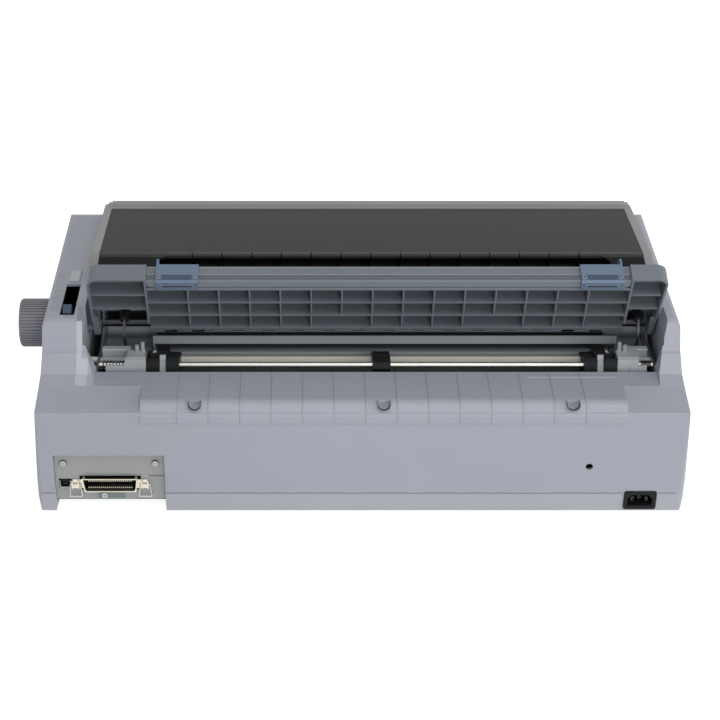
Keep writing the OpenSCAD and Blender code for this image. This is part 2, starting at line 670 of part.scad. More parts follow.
module power_supply() color("#b4b7ba") {
    block([x_l + 16, deck_y - 70, board_z], [x_l + 160, y_b - 24, board_z + 1.6]);
    block([x_l + 60, deck_y - 60, board_z + 1.6], [x_l + 104, deck_y - 16, board_z + 40]);
    block([x_l + 112, deck_y - 64, board_z + 1.6], [x_l + 118, deck_y + 10, board_z + 46]);
    for (k = [0 : 1]) translate([x_l + 36, deck_y - 40 + 30 * k, board_z + 1.6]) cylinder(h = 36, r = 11);
}

// ---------------------------------------------------------------- sockets

module interface_plate() color("#a6a8a8") difference() {
    block([recess_x0 + gap, recess_y, recess_low], [recess_x1 - gap, recess_y + plate_t, recess_top - gap]);
    // lower part, set back round the socket's flange
    difference() {
        along_y(recess_y + plate_t - plate_step, recess_y + plate_t + 1) polygon([
            [recess_x0, recess_low - 1], [recess_x0, port_z + 11], [port_x + 37.4, port_z + 11],
            [port_x + 37.4, port_z - 7], [recess_x1, port_z - 7], [recess_x1, recess_low - 1]]);
        block([port_x - 37, recess_y, port_z - 5], [port_x + 37, recess_y + plate_t + 2, port_z + 5]);
    }
    block([port_x - 30, recess_y - 1, port_z - 8.5], [port_x + 30, recess_y + 3, port_z + 8.5]);
    block([usb_x - 6.3, recess_y - 1, usb_z - 5.8], [usb_x + 6.3, recess_y + 3, usb_z + 5.8]);
    for (x = [recess_x0 + 9, recess_x1 - 9]) rod_y(recess_y - 1, recess_y + 3, x, recess_top - 12, 1.6);
}

module interface_bracket() color("#c6cacc") {
    block([port_x - 14, recess_y + plate_t - plate_step, port_z - 17],
        [port_x + 12, recess_y + plate_t + 0.6, port_z - 9]);
}

// Metal shell of the 36-way socket, with the ears that carry the wire bails
module parallel_shell() color("#cfcbbd") {
    y0 = recess_y - wall;
    y1 = recess_y + plate_t + shell_out;
    difference() {
        union() {
            shell_form(y0, y1, 0);
            block([port_x - 37, recess_y + plate_t, port_z - 5],
                [port_x + 37, recess_y + plate_t + 1.2, port_z + 5]);
            for (x = bail_pin_x) for (s = [-1, 1])
                block([x + s * 3 - 0.6, recess_y + plate_t, port_z - 4.5],
                      [x + s * 3 + 0.6, y1 - 0.8, port_z + 4.5]);
        }
        shell_form(y0 - 1, y1 + 1, 1);
        for (x = bail_pin_x) rod_x(x - 5, x + 5, [recess_y + plate_t + 2.2, port_z], 0.8 + run);
    }
}
module shell_form(y0, y1, t) along_y(y0, y1) polygon([
    [port_x - 27 + t, port_z + 7.7 - t], [port_x - 25.5 + t, port_z - 6 + t],
        [port_x - 24 + t, port_z - 7.7 + t],
    [port_x + 24 - t, port_z - 7.7 + t], [port_x + 25.5 - t, port_z - 6 + t],
        [port_x + 27 - t, port_z + 7.7 - t]]);

module parallel_insert() color("#1b1b1c") difference() {
    shell_form(recess_y - wall, recess_y + plate_t + 0.6, 1.15);
    block([port_x - 23, recess_y + plate_t - 2.5, port_z - 4.6],
        [port_x + 23, recess_y + plate_t + 3, port_z + 4.6]);
}

module usb_port() color("#1d1d1f") difference() {
    along_y(recess_y - 10, recess_y + plate_t + 0.5) polygon([
        [usb_x - 6, usb_z - 5.5], [usb_x + 6, usb_z - 5.5], [usb_x + 6, usb_z + 3],
        [usb_x + 3.5, usb_z + 5.5], [usb_x - 3.5, usb_z + 5.5], [usb_x - 6, usb_z + 3]]);
    difference() {
        block([usb_x - 4.6, recess_y - 6, usb_z - 4.2], [usb_x + 4.6, recess_y + 5, usb_z + 3.6]);
        block([usb_x - 2.8, recess_y - 7, usb_z - 1.6], [usb_x + 2.8, recess_y + 0.5, usb_z + 1.6]);
    }
}

module power_inlet() color("#1a1a1b") {
    difference() {
        union() {
            translate([inlet_x, 0, inlet_z]) along_y(wall_y, y_b - 0.2) round_rect(inlet_w, inlet_h, 2.5);
            block([inlet_x - inlet_w / 2 + 2.3, wall_y - 18, inlet_z - inlet_h / 2 + 2.3],
                  [inlet_x + inlet_w / 2 - 2.3, wall_y, inlet_z + inlet_h / 2 - 2.3]);
        }
        along_y(wall_y - 15, y_b + 1) polygon([
            [inlet_x - 12, inlet_z - 6.4], [inlet_x + 12, inlet_z - 6.4], [inlet_x + 12, inlet_z + 2],
            [inlet_x + 7.5, inlet_z + 6.4], [inlet_x - 7.5, inlet_z + 6.4], [inlet_x - 12, inlet_z + 2]]);
    }
    for (p = [[-7, -1], [0, 2], [7, -1]])
        block([inlet_x + p.x - 1, wall_y - 15.5, inlet_z + p.y - 2],
            [inlet_x + p.x + 1, wall_y - 2, inlet_z + p.y + 2]);
}
module bail(x) {
    y = recess_y + plate_t + 2.2;
    rod_x(x - 4.7, x + 4.7, [y, port_z], 0.8);
    for (s = [-1, 1]) translate([x + s * 4.7, y, port_z]) {
        rotate([180, -s * 6, 0]) cylinder(h = 14, r = 0.7);
        sphere(r = 0.8);
    }
    rod_x(x - 6.2, x + 6.2, [y, port_z - 14], 0.7);
}
module bail_wire_right() color("#d7d9da") bail(bail_pin_x[0]);
module bail_wire_left() color("#d7d9da") bail(bail_pin_x[1]);

// ---------------------------------------------------------------- front and panel

module control_panel() color("#7b7e84") on_panel() difference() {
    block([-panel_w / 2, -panel_d / 2, -2.5], [panel_w / 2, panel_d / 2, 0.8]);
    for (x = button_xs) block([x - panel_x - button_w / 2 - gap, -14 - gap, -4],
                              [x - panel_x + button_w / 2 + gap, -4 + gap, 3]);
    // windows for the lights
    for (k = [0 : 5]) block([-43 + 16 * k, 6, 0.3], [-37 + 16 * k, 9, 2]);
}

// Rounded key with a stem that reaches the switch behind the panel
module panel_button(k) on_panel() translate([button_xs[k] - panel_x, -9, 0]) {
    along_x(-button_w / 2, button_w / 2) polygon([
        [-5, -2.4], [5, -2.4], [5, 2.2], [4, 3], [-4, 3], [-5, 2.2]]);
    translate([0, 0, -6]) cylinder(h = 4, r = 2);
}
module button_1() color("#5d6066") panel_button(0);
module button_2() color("#5d6066") panel_button(1);
module button_3() color("#5d6066") panel_button(2);
module button_4() color("#5d6066") panel_button(3);

// Rocker on a pin across its opening, tipped to one side
module power_switch() color("#222224") translate([switch_x, switch_pin.x, switch_pin.y])
    rotate([-6, 0, 0]) difference() {
    along_x(-10.4, 10.4) polygon([[2.4, -6], [-5.8, -7.2], [-4.4, 0], [-5.8, 7.2], [2.4, 6]]);
    rod_x(-11, 11, [0, 0], 1.5 + run);
}

// Drop-down cover with a finger grip, on two stub pins
module front_cover() color("#a0a3aa") {
    x0 = door_x - door_w / 2;
    x1 = door_x + door_w / 2;
    difference() {
        union() {
            block([x0, y_f, door_z0], [x1, y_f + door_t, door_z0 + door_h]);
            for (k = [0 : 8]) block([x0 + 26 + k * (door_w - 54) / 8, y_f + door_t - eps, door_z0 + 13],
                                    [x0 + 28 + k * (door_w - 54) / 8, y_f + door_t + 3,
                                        door_z0 + door_h - 7]);
        }
        block([door_x - 40, y_f - 1, door_z0 + door_h - 7], [door_x + 40, y_f + 1.4, door_z0 + door_h + 1]);
    }
    for (s = [0, 1]) {
        xa = s == 0 ? x0 + 0.2 : x1 - 6.2;
        difference() {
            rod_x(xa, xa + 6, door_pin, 4.6);
            block([xa - 1, y_f - 1, 0], [xa + 7, y_f, 50]);
        }
        rod_x(s == 0 ? x0 - 3.2 : x1 - 1, s == 0 ? x0 + 1 : x1 + 3.2, door_pin, 2);
    }
}

// ---------------------------------------------------------------- printer cover

cover_skin = [[cover_y0 + 3, front_top_z], [crease_y, crease_z], [cover_y1, crease_z - 4.6]];

// Skin outline lowered by t, from the front to the rear edge
function skin_line(t) = [for (p = cover_skin) p - [0, t]];

module cover_frame() color("#969799") difference() {
    union() {
        // top skin with the front wall
        along_x(cover_x0, cover_x1) polygon(concat(
            [[cover_y0, side_z + gap], [cover_y0 + wall, side_z + gap],
                [cover_y0 + wall, front_top_z - wall]],
            [for (i = [1, 2]) skin_line(wall)[i]],
            [for (i = [2, 1, 0]) cover_skin[i]],
            [[cover_y0, front_top_z - 3]]));
        // side walls with the hinge ears
        for (x = [cover_x0, cover_x1 - 2.5]) along_x(x, x + 2.5) {
            polygon([[cover_y0, side_z + gap], [cover_pin.x - 14, side_z + gap],
                [cover_pin.x - 7, cover_pin.y],
                     [cover_pin.x + 7, cover_pin.y], [cover_y1, crease_z - 12], [cover_y1, crease_z - 4.6],
                     [crease_y, crease_z - 0.5], [cover_y0 + 3, front_top_z - 0.5],
                         [cover_y0, front_top_z - 3]]);
            translate([cover_pin.x, cover_pin.y]) circle(r = 7);
        }
        rod_x(cover_x1 - 1, cover_x1 + 3.5, cover_pin, 2.5);
        rod_x(cover_x0 - 3.5, cover_x0 + 1, cover_pin, 2.5);
    }
    // opening that the window fills
    block([cover_x0 + cover_rim, window_y0, side_z], [cover_x1 - cover_rim, cover_y1 + 1, crease_z + 5]);
    // rounded front corners
    for (s = [0, 1]) translate([s == 0 ? cover_x0 : cover_x1, cover_y0, 0]) mirror([s, 0, 0]) difference() {
        block([-1, -1, side_z], [corner_r, corner_r, front_top_z + 5]);
        translate([corner_r, corner_r, 0]) cylinder(h = 300, r = corner_r);
    }
}

// Smoked panel with the paper exit cut out of its rear edge
module cover_window() color("#434345") difference() {
    union() {
        along_x(cover_x0 + cover_rim + gap, cover_x1 - cover_rim - gap) polygon(concat(
            [[window_y0 + gap, window_skin_z(window_y0 + gap)],
                [window_y0 + gap, window_skin_z(window_y0) - window_t]],
            [for (i = [1, 2]) skin_line(window_t + 0.2)[i]],
            [for (i = [2, 1]) skin_line(0.2)[i]]));
        // ridge along the crease
        along_x(cover_x0 + cover_rim + 12, cover_x1 - cover_rim - 12) polygon([
            [crease_y - 1.2, crease_z - 0.6], [crease_y + 1.2, crease_z - 0.8],
                [crease_y, crease_z + 0.4]]);
    }
    translate([0, 0, crease_z - 20]) linear_extrude(40) polygon([
        [lip_x0 + 1.5, cover_y1 + 1], [lip_x0 + 1.5, exit_y0 + 8], [lip_x0 + 9, exit_y0],
        [lip_x1 - 16, exit_y0], [lip_x1 - 8, exit_y0 + 8], [lip_x1 - 8, cover_y1 + 1]]);
    for (x = guide_ribs) block([x - 0.5, crease_y - 1.5, crease_z - 0.3],
        [x + 0.5, crease_y + 1.5, crease_z + 2]);
}
function window_skin_z(y) = front_top_z - 0.2
    + (crease_z - front_top_z) * (y - cover_y0 - 3) / (crease_y - cover_y0 - 3);

// ---------------------------------------------------------------- sheet guide

guide_grid_y = [for (k = [0 : 3]) grid_y0 + k * (grid_y1 - grid_y0) / 3];
block_rib_y = [guide_grid_y[1] + 9.5, guide_grid_y[2] + 10.3];

module sheet_guide() color("#7f838b") on_guide() {
    skin_z = guide_z1 - guide_skin;
    // skin and the grid of ribs
    block([grid_x0 - guide_rib, grid_y0 - 8, skin_z], [grid_x1 + guide_rib, plate_end, guide_z1]);
    for (y = guide_grid_y)
        block([grid_x0, y - guide_rib / 2, guide_z0], [grid_x1, y + guide_rib / 2, skin_z + eps]);
    for (i = [0 : len(guide_ribs) - 1]) {
        y0 = (i == 3 || i == 8) ? guide_grid_y[1] : grid_y0;
        block([guide_ribs[i] - guide_rib / 2, y0, guide_z0 + 0.4],
              [guide_ribs[i] + guide_rib / 2, grid_y1, skin_z + eps]);
    }
    // lower flange with its row of slots
    difference() {
        along_x(grid_x0 - guide_rib, grid_x1 + guide_rib) polygon([
            [grid_y0, guide_z0], [grid_y0 - 8, guide_z0 + 1.5], [grid_y0 - 10, guide_z0 + 4.5],
            [grid_y0 - 8, guide_z0 + 4.5], [grid_y0 - 7, guide_z0 + 3.2], [grid_y0, guide_z0 + 1.8]]);
        for (x = guide_ribs) block([x + 7, grid_y0 - 6.5, guide_z0 - 1],
            [x + 19, grid_y0 - 3.5, guide_z0 + 6]);
    }
    // rail that the edge guides slide on
    along_x(grid_x0 - guide_rib, grid_x1 + guide_rib) polygon([
        [plate_end - 5, guide_z0 + 1.8], [plate_end - 1.5, guide_z0 + 1.5], [plate_end, guide_z0 + 3],
        [plate_end, guide_z0 + 9], [plate_end - 0.9, guide_z0 + 9.6], [plate_end - 0.9, guide_z0 + 10.8],
        [plate_end, guide_z0 + 11.4], [plate_end, guide_z1], [plate_end - 2.2, guide_z1],
        [plate_end - 2.2, guide_z0 + 4], [plate_end - 5, guide_z0 + 4]]);
    along_x(grid_x0 + 3, grid_x1 - 3) polygon([
        [grid_y1 + 0.5, guide_z0 + 4.2], [grid_y1 + 0.5, guide_z0 + 2.4], [plate_end - 3, guide_z0 + 2.6],
        [plate_end - 3, guide_z0 + 4.2]]);
    guide_block(grid_x1, guide_x1, guide_x1);
    guide_block(guide_x0, grid_x0, guide_x0);
}

// Hollow end block from xa to xb, with its round corner and hinge cheek at the outer side
module guide_block(xa, xb, outer) {
    s = outer == xb ? 1 : -1;
    difference() {
        block_form(xa, xb, outer, 0, guide_z0, guide_z1);
        block_form(xa, xb, outer, 2.2, guide_z0 - 1, guide_z1 - guide_skin);
    }
    for (y = block_rib_y)
        block([xa + 1, y - guide_rib / 2, guide_z0 + 0.8],
            [xb - 1, y + guide_rib / 2, guide_z1 - guide_skin + eps]);
    // cheek round the hinge pin, and the pin itself
    cx = s > 0 ? outer - 6 : outer;
    difference() {
        along_x(cx, cx + 6) {
            circle(r = 7.5);
            polygon([[0, -7.5], [24, guide_z0 + 0.2], [24, guide_z1 - 0.2], [0, 7.5]]);
        }
        block([cx + (s > 0 ? -1 : 2.6), 9, guide_z0 + 2.6],
            [cx + (s > 0 ? 3.4 : 7), 30, guide_z1 - guide_skin]);
    }
    along_x(s > 0 ? outer - 1 : outer - 5, s > 0 ? outer + 8 : outer + 1) circle(r = 3);
}
module block_form(xa, xb, outer, t, z0, z1) translate([0, 0, z0]) linear_extrude(z1 - z0) difference() {
    s = outer == xb ? 1 : -1;
    r = 11;
    inner = s > 0 ? xa : xb;
    tip = outer + s * (s > 0 ? block_r_lean : block_l_lean);
    polygon([
        [inner + s * t, grid_y0 + 6 - 2 * t], [outer - s * t, grid_y0 + 6 - 2 * t],
        [tip - s * t, guide_len - t], [inner + s * t, guide_len - t]]);
    difference() {
        translate([tip - s * r, guide_len - r]) mirror([s > 0 ? 0 : 1, 0]) square(r + 1);
        translate([tip - s * r, guide_len - r]) circle(r = r - t);
    }
}

// Curved steel stays that swing with the guide and damp it, on small bosses
module guide_arms() color("#b8bcc0") on_guide() for (x = arm_x) {
    rotate([0, 90, 0]) translate([0, 0, x - 1.2]) ring_part(arm_r0 + 1.5, arm_r0 + 3.5, 2.4, 12, 108);
    translate([x, 18.5, guide_z0 + 3]) cylinder(h = guide_z1 - guide_skin - guide_z0 - 3.3, r = 4.6);
}
// Part of a ring between two angles, measured from the guide's plane down towards its ribs
module ring_part(r0, r1, h, a0, a1) intersection() {
    difference() {
        cylinder(h = h, r = r1);
        translate([0, 0, -1]) cylinder(h = h + 2, r = r0);
    }
    linear_extrude(h) polygon(concat([[0, 0]], arc([0, 0], r1 * 1.3, 90 - a1, 90 - a0, 6)));
}

// Blue clip that wraps the guide's rail, with a fin on its outer end
module edge_guide(x0, x1, fin_x) color("#7f93ad") on_guide() difference() {
    union() {
        along_x(x0, x1) polygon([
            [plate_end - 7, guide_z0 - 1.4], [plate_end + 1.2, guide_z0 - 1.4],
                [plate_end + 3.2, guide_z0 + 1],
            [plate_end + 3.2, guide_z1 + 0.6], [plate_end + 1.4, guide_z1 + 2.4],
                [plate_end - 24, guide_z1 + 2.4],
            [plate_end - 24, guide_z1 + 0.3], [plate_end + 0.4, guide_z1 + 0.3],
                [plate_end + 0.4, guide_z0 + 1],
            [plate_end - 7, guide_z0 + 0.8]]);
        // foot and fin
        block([x0 + 2, plate_end - 8.6, guide_z0 - 1.4], [x1 - 2, plate_end - 6.9, guide_z0 + 0.4]);
        along_x(fin_x - 1, fin_x + 1) polygon([
            [plate_end - 24, guide_z1 + 0.3], [plate_end + 2, guide_z1 + 0.3],
                [plate_end + 3.2, guide_z1 + 2],
            [plate_end + 3, guide_z1 + 8], [plate_end - 3, guide_z1 + 13],
                [plate_end - 24, guide_z1 + 13]]);
    }
    for (x = [x0 + 3.2, x1 - 3.2]) translate([x, plate_end - 2.4, guide_z0 - 2]) cylinder(h = 5, r = 1.2);
    block([x0 + 6.5, plate_end - 5.6, guide_z0 - 2], [x1 - 6.5, plate_end - 1, guide_z0 - 0.7]);
}
module edge_guide_right() edge_guide(grid_x1 - 9.5 - edge_w, grid_x1 - 9.5, grid_x1 - 10.5);
module edge_guide_left() edge_guide(grid_x0 + 7.5, grid_x0 + 7.5 + edge_w, grid_x0 + 8.5);

// ---------------------------------------------------------------- platen and tractor drive

platen_x0 = paper_x - platen_len / 2;
platen_x1 = paper_x + platen_len / 2;

module platen_roller() color("#232324") difference() {
    rod_x(platen_x0, platen_x1, platen, platen_r);
    rod_x(platen_x0 - 1, platen_x1 + 1, platen, shaft_r + eps);
}
module platen_shaft() color("#c3c6ca") rod_x(frame_x0 - frame_t - 1, knob_x0 + knob_out / 2, platen,
    shaft_r);

module platen_gear() color("#d8d6cc") difference() {
    translate([gear_x, platen.x, platen.y]) rotate([180 / platen_teeth, 0, 0]) rotate([90, 0, 90])
        linear_extrude(gear_w) difference() {
            rotate(21.6 * -1) gear_2d(platen_teeth, gear_m);
            for (k = [0 : 4]) rotate(72 * k) translate([18, 0]) circle(r = 5);
        }
    rod_x(gear_x - 1, gear_x + gear_w + 1, platen, shaft_r + eps);
}

module platen_knob() color("#66666b") difference() {
    union() {
        rod_x(knob_x0, total_w / 2, platen, knob_r - 1.1);
        for (k = [0 : 47]) translate([knob_x0, platen.x, platen.y]) rotate([k * 7.5, 0, 0])
            block([0, -0.8, knob_r - 2], [total_w / 2 - knob_x0 - 1.2, 0.8, knob_r]);
        rod_x(x_r - 8, knob_x0 + 1, platen, shaft_r + 0.7);
    }
    rod_x(x_r - 9, knob_x0 + knob_out / 2 + eps, platen, shaft_r + eps);
    rod_x(total_w / 2 - 1.5, total_w / 2 + 1, platen, knob_r - 4);
}

module tractor_shaft() color("#d9d2bd") {
    translate([0, drive.x, drive.y]) rotate([tractor_tilt, 0, 0])
        block([unit_x[1] - unit_w / 2 - 0.1, -drive_s / 2, -drive_s / 2],
              [unit_x[0] + unit_w / 2 + 0.1, drive_s / 2, drive_s / 2]);
    rod_x(end_x0 + 4, gear_x + gear_w, drive, drive_s / 2 - 0.1);
}
module tractor_gear() color("#d8d6cc") difference() {
    translate([gear_x, drive.x, drive.y]) rotate([90, 0, 90]) linear_extrude(gear_w)
        rotate(180 - 21.6) gear_2d(tractor_teeth, gear_m);
    rod_x(gear_x - 1, gear_x + gear_w + 1, drive, drive_s / 2 - 0.1 + eps);
}

// ---------------------------------------------------------------- tractor

// Light grey blocks that hold both rods at the ends
module tractor_ends() color("#a9acb0") {
    tractor_end(unit_x[0] + unit_w / 2 + 0.4, end_x1, 1);
    tractor_end(end_x0, unit_x[1] - unit_w / 2 - 0.4, -1);
}
module tractor_end(xa, xb, s) {
    near = s > 0 ? xa : xb;
    far = s > 0 ? xb : xa;
    // lengths along X fill the room between the unit and the cheek
    k = s * (xb - xa) / end_room[s > 0 ? 0 : 1];
    difference() {
        on_tractor0(0) {
            span(near, near + 20.7 * k) polygon([[8, -8], [33, -8], [33, 6.5], [31, 8.5], [12, 8.5], [8,
                5]]);
            span(near + 12 * k, far) polygon([[-9, -6], [16, -6], [16, 3], [14, 5], [-7, 5], [-9, 3]]);
            span(near + 12 * k, far - 7 * k) polygon([[16, -8], [34, -8], [34, -1], [32, 1], [16, 1]]);
        }
        rod_x(xa - 1, xb + 1, drive, drive_s / 2 - 0.1 + run);
        rod_x(xa - 1, xb + 1, rod, rod_r + eps);
        // room for the stays of the sheet guide
        for (x = arm_x) rod_x(x - 2, x + 2, hinge, arm_r0 + 4.5);
    }
}
module on_tractor0(x) translate([x, drive.x, drive.y]) rotate([tractor_tilt, 0, 0]) children();
// An outline in the tractor's [y, z] drawn between two x, whichever comes first
module span(a, b) along_x(min(a, b), max(a, b)) children();

module tractor_rod() color("#d6d8da") rod_x(end_x0, end_x1, rod, rod_r);

belt_c = 12;       // from the drive shaft to the belt's idler nose
belt_out = 7.4;
belt_in = 6.3;
// Side band of a unit, [nearer the paper's middle, further out], for the right unit at x = 0
belt_x = [unit_w / 2 - 9.2, unit_w / 2 - 2.6];

module stadium(r) {
    circle(r = r);
    translate([belt_c, 0]) circle(r = r);
    translate([0, -r]) square([belt_c, 2 * r]);
}

// Tractor unit for s = 1 on the right and s = -1 on the left
module tractor_case(i) {
    s = i == 0 ? 1 : -1;
    color("#1d1e20") difference() {
        translate([unit_x[i], 0, 0]) on_tractor() {
            span(-s * unit_w / 2, s * (belt_x[0] - 0.3)) difference() {
                union() {
                    circle(r = 8.4);
                    polygon([[0, -8.4], [31, -8.4], [33, -6], [33, 5], [30.5, 7.6], [0, 7.6]]);
                }
            }
            span(s * (belt_x[1] + 0.3), s * unit_w / 2) {
                circle(r = 7.9);
                polygon([[0, -7.9], [31, -7.9], [33, -6], [33, 5], [30.5, 7.6], [0, 7.6]]);
            }
            // bridge behind the belt, and the core inside it
            span(0, s * unit_w / 2) polygon([[20, -8.4], [31, -8.4], [33, -6], [33, 5], [30.5, 7.6],
                [20, 7.6]]);
            span(s * (belt_x[0] - 1), s * (belt_x[1] + 1)) polygon([
                [8, -belt_in + 0.4], [belt_c, -belt_in + 0.4], [belt_c + 4, -4], [belt_c + 5.4, 0],
                [belt_c + 4, 4], [belt_c, belt_in - 0.4], [8, belt_in - 0.4]]);
            // sleeve round the rod, inside the lock lever
            translate([0, rod_gap]) along_x(-4, 4) circle(r = sleeve_r);
            // ears for the flap
            for (y = ear_y) span(s * (unit_w / 2 - 1.9), s * unit_w / 2)
                polygon([[y, 4], [y + 2, 4], [y + 2, unit_half], [y, unit_half]]);
        }
        // room for the square shaft, and the bearing on the round rod
        rod_x(unit_x[i] - unit_w, unit_x[i] + unit_w, drive, drive_s * 0.75);
        rod_x(unit_x[i] - unit_w, unit_x[i] + unit_w, rod, rod_r + run);
        translate([unit_x[i], 0, 0]) on_tractor() {
            // slot for the lock lever, round the sleeve that it turns on
            difference() {
                block([-3.3, rod_gap - 6.2, -9], [3.3, rod_gap + 9, 9]);
                translate([0, rod_gap]) along_x(-4, 4) circle(r = sleeve_r);
            }
            // pin of the flap
            translate([s * (unit_w / 2 - 1), ear_y[1] + 3, flap_z]) rotate([90, 0, 0])
                cylinder(h = ear_y[1] - ear_y[0] + 4, r = 0.6 + run);
        }
    }
}
module tractor_case_right() tractor_case(0);
module tractor_case_left() tractor_case(1);

module pin_belt(i) {
    s = i == 0 ? 1 : -1;
    color("#d4d2c8") translate([unit_x[i], 0, 0]) on_tractor() {
        span(s * belt_x[0], s * belt_x[1]) difference() {
            stadium(belt_out);
            stadium(belt_in);
        }
        for (y = [0, belt_c]) translate([s * (belt_x[0] + belt_x[1]) / 2, y, belt_out - 0.3]) {
            cylinder(h = 1.6, r = 1.9);
            translate([0, 0, 1.6]) cylinder(h = 1, r1 = 1.9, r2 = 1);
        }
    }
}
module pin_belt_right() pin_belt(0);
module pin_belt_left() pin_belt(1);

module sprocket(i) {
    s = i == 0 ? 1 : -1;
    color("#c9c7bd") translate([unit_x[i], 0, 0]) on_tractor()
        span(s * (belt_x[0] + 0.4), s * (belt_x[1] - 0.4)) difference() {
        circle(r = belt_in - 0.12);
        square(drive_s + 0.2, center = true);
    }
}
module sprocket_right() sprocket(0);
module sprocket_left() sprocket(1);

// Flap over the pins, with a slot for them and its hinge barrel at the outer side
flap_y = [3, 20];
ear_y = [4.2, 16.8];
flap_z = 9.3;
module tractor_flap(i) {
    s = i == 0 ? 1 : -1;
    inner = s * (unit_w / 2 - 21);
    edge = s * (unit_w / 2 - 2.75);
    barrel = s * (unit_w / 2 - 1);
    color("#26272a") translate([unit_x[i], 0, 0]) on_tractor() difference() {
        union() {
            block([min(inner, edge), flap_y[0], unit_half - flap_t],
                [max(inner, edge), flap_y[1], unit_half]);
            along_x(min(inner, edge), max(inner, edge)) polygon([
                [flap_y[0] + 1, unit_half], [flap_y[0] - 8, 14.5], [flap_y[0] - 11, 12.5],
                [flap_y[0] - 1, unit_half - flap_t + 0.7], [flap_y[0] + 1, unit_half - flap_t + 0.7]]);
            block([min(edge - s, barrel), ear_y[0] + 2.3, unit_half - flap_t + 0.2],
                  [max(edge - s, barrel), ear_y[1] - 0.3, unit_half]);
            translate([barrel, ear_y[1] - 0.3, flap_z]) rotate([90, 0, 0])
                cylinder(h = ear_y[1] - ear_y[0] - 2.6, r = 1.2);
            translate([barrel, ear_y[1] + 2, flap_z]) rotate([90, 0, 0])
                cylinder(h = ear_y[1] - ear_y[0] + 2, r = 0.6);
        }
        pin_x = s * (belt_x[0] + belt_x[1]) / 2;
        block([pin_x - 2.5, flap_y[0] - 12, 7], [pin_x + 2.5, flap_y[1] - 3, 16]);
    }
}
module tractor_flap_right() tractor_flap(0);
module tractor_flap_left() tractor_flap(1);

// Grey lever that clamps the unit on the round rod
module tractor_lock(i) color("#b9bcbd") translate([unit_x[i], 0, 0]) on_tractor()
    translate([0, rod_gap]) along_x(-3, 3) difference() {
        union() {
            circle(r = 5.2);
            polygon([[0.4, 9.6], [-1, 3.6], [2.6, -4], [5, -6.4], [6.6, -6], [4.2, 3], [3.4, 9.4],
                [2, 10.6]]);
        }
        circle(r = sleeve_r + run);
    }
module tractor_lock_right() tractor_lock(0);
module tractor_lock_left() tractor_lock(1);

// Paper support in the middle, combed on top
module paper_support() color("#2a2b2d") difference() {
    translate([paper_x, 0, 0]) on_tractor() {
        along_x(-support_w / 2, support_w / 2) polygon([
            [-8, -6], [30, -6], [32, -3], [31, 3.5], [27, 6], [20, 7.4], [-6, 7.4], [-8, 5]]);
        for (k = [0 : 5]) along_x(-support_w / 2 + 0.5 + 3.1 * k, -support_w / 2 + 1.7 + 3.1 * k) polygon([
            [-7, 7], [19, 7], [18, 8.6], [-5, 8.6]]);
    }
    rod_x(paper_x - support_w, paper_x + support_w, drive, drive_s * 0.75);
    rod_x(paper_x - support_w, paper_x + support_w, rod, rod_r + run);
}

// ---------------------------------------------------------------- levers and carriage

// Paper release lever: a bored hub low in the housing and a blue handle through the slot
module release_lever() color("#3f5672") translate([lever_x, lever_pin.x, lever_pin.y])
    rotate([-lever_rest, 0, 0]) difference() {
    along_x(-lever_w / 2, lever_w / 2) {
        circle(r = 6.5);
        polygon([[-3.5, 0], [3.5, 0], [4, 58], [6, 66], [6, 71], [3, 74], [-3, 74], [-6, 71], [-6, 66],
            [-4, 58]]);
    }
    rod_x(-lever_w, lever_w, [0, 0], 3 + run);
}

module carriage() color("#2d2e30") translate([carriage_x, 0, 0]) difference() {
    union() {
        along_x(-38, 38) polygon([
            [carriage_axis.x - 40, carriage_axis.y - 8], [carriage_axis.x + 9, carriage_axis.y - 8],
            [carriage_axis.x + 9, carriage_axis.y + 9], [carriage_axis.x - 12, carriage_axis.y + 10],
            [carriage_axis.x - 40, carriage_axis.y + 4], [rail.x - 4.5, rail.y + 9],
                [rail.x - 4.5, rail.y + 5.4],
            [rail.x + 6, rail.y + 5.4]]);
        block([-14, carriage_axis.x - 36, belt_z - 3],
            [14, carriage_axis.x - 24.5 + 2.4, carriage_axis.y - 7]);
    }
    rod_x(-40, 40, carriage_axis, 5 + run);
    block([-15, carriage_axis.x - 40, belt_z - 4], [15, carriage_axis.x - 20.5, belt_z + 4]);
}

module print_head() color("#55585b") translate([carriage_x, 0, 0]) {
    rod_y(carriage_axis.x + 9.2, head_y1 - 16, 0, platen.y, 17);
    for (k = [0 : 5]) block([-17 + 6.4 * k, carriage_axis.x + 12, platen.y - 20],
                            [-15 + 6.4 * k, head_y1 - 18, platen.y + 20]);
    block([-9, head_y1 - 16.1, platen.y - 9], [9, head_y1 - 6, platen.y + 9]);
    block([-3, head_y1 - 6.1, platen.y - 6], [3, head_y1, platen.y + 6]);
}

// Long cartridge across the machine, its two arms and the ribbon between them
module ribbon_cartridge() color("#303133") {
    x0 = frame_x0 + gap;
    x1 = frame_x1 - gap;
    y1 = carriage_axis.x - 14;
    difference() {
        union() {
            block([x0 + 4, y1 - 58, platen.y + 3], [x1 - 4, y1, platen.y + 24]);
            for (x = [x0, x1 - 16]) block([x, y1 - 20, platen.y - 6], [x + 16, head_y1 - 4, platen.y + 9]);
        }
        block([x0 + 20, y1 - 52, platen.y + 22], [x1 - 20, y1 - 8, platen.y + 25]);
    }
    block([x0 + 12, head_y1 + 0.6, platen.y - 6.5], [x1 - 12, head_y1 + 1, platen.y + 6.5]);
    for (x = [x0 + 12, x1 - 14]) block([x, head_y1 - 4.1, platen.y - 6.5],
        [x + 2, head_y1 + 1, platen.y + 6.5]);
}

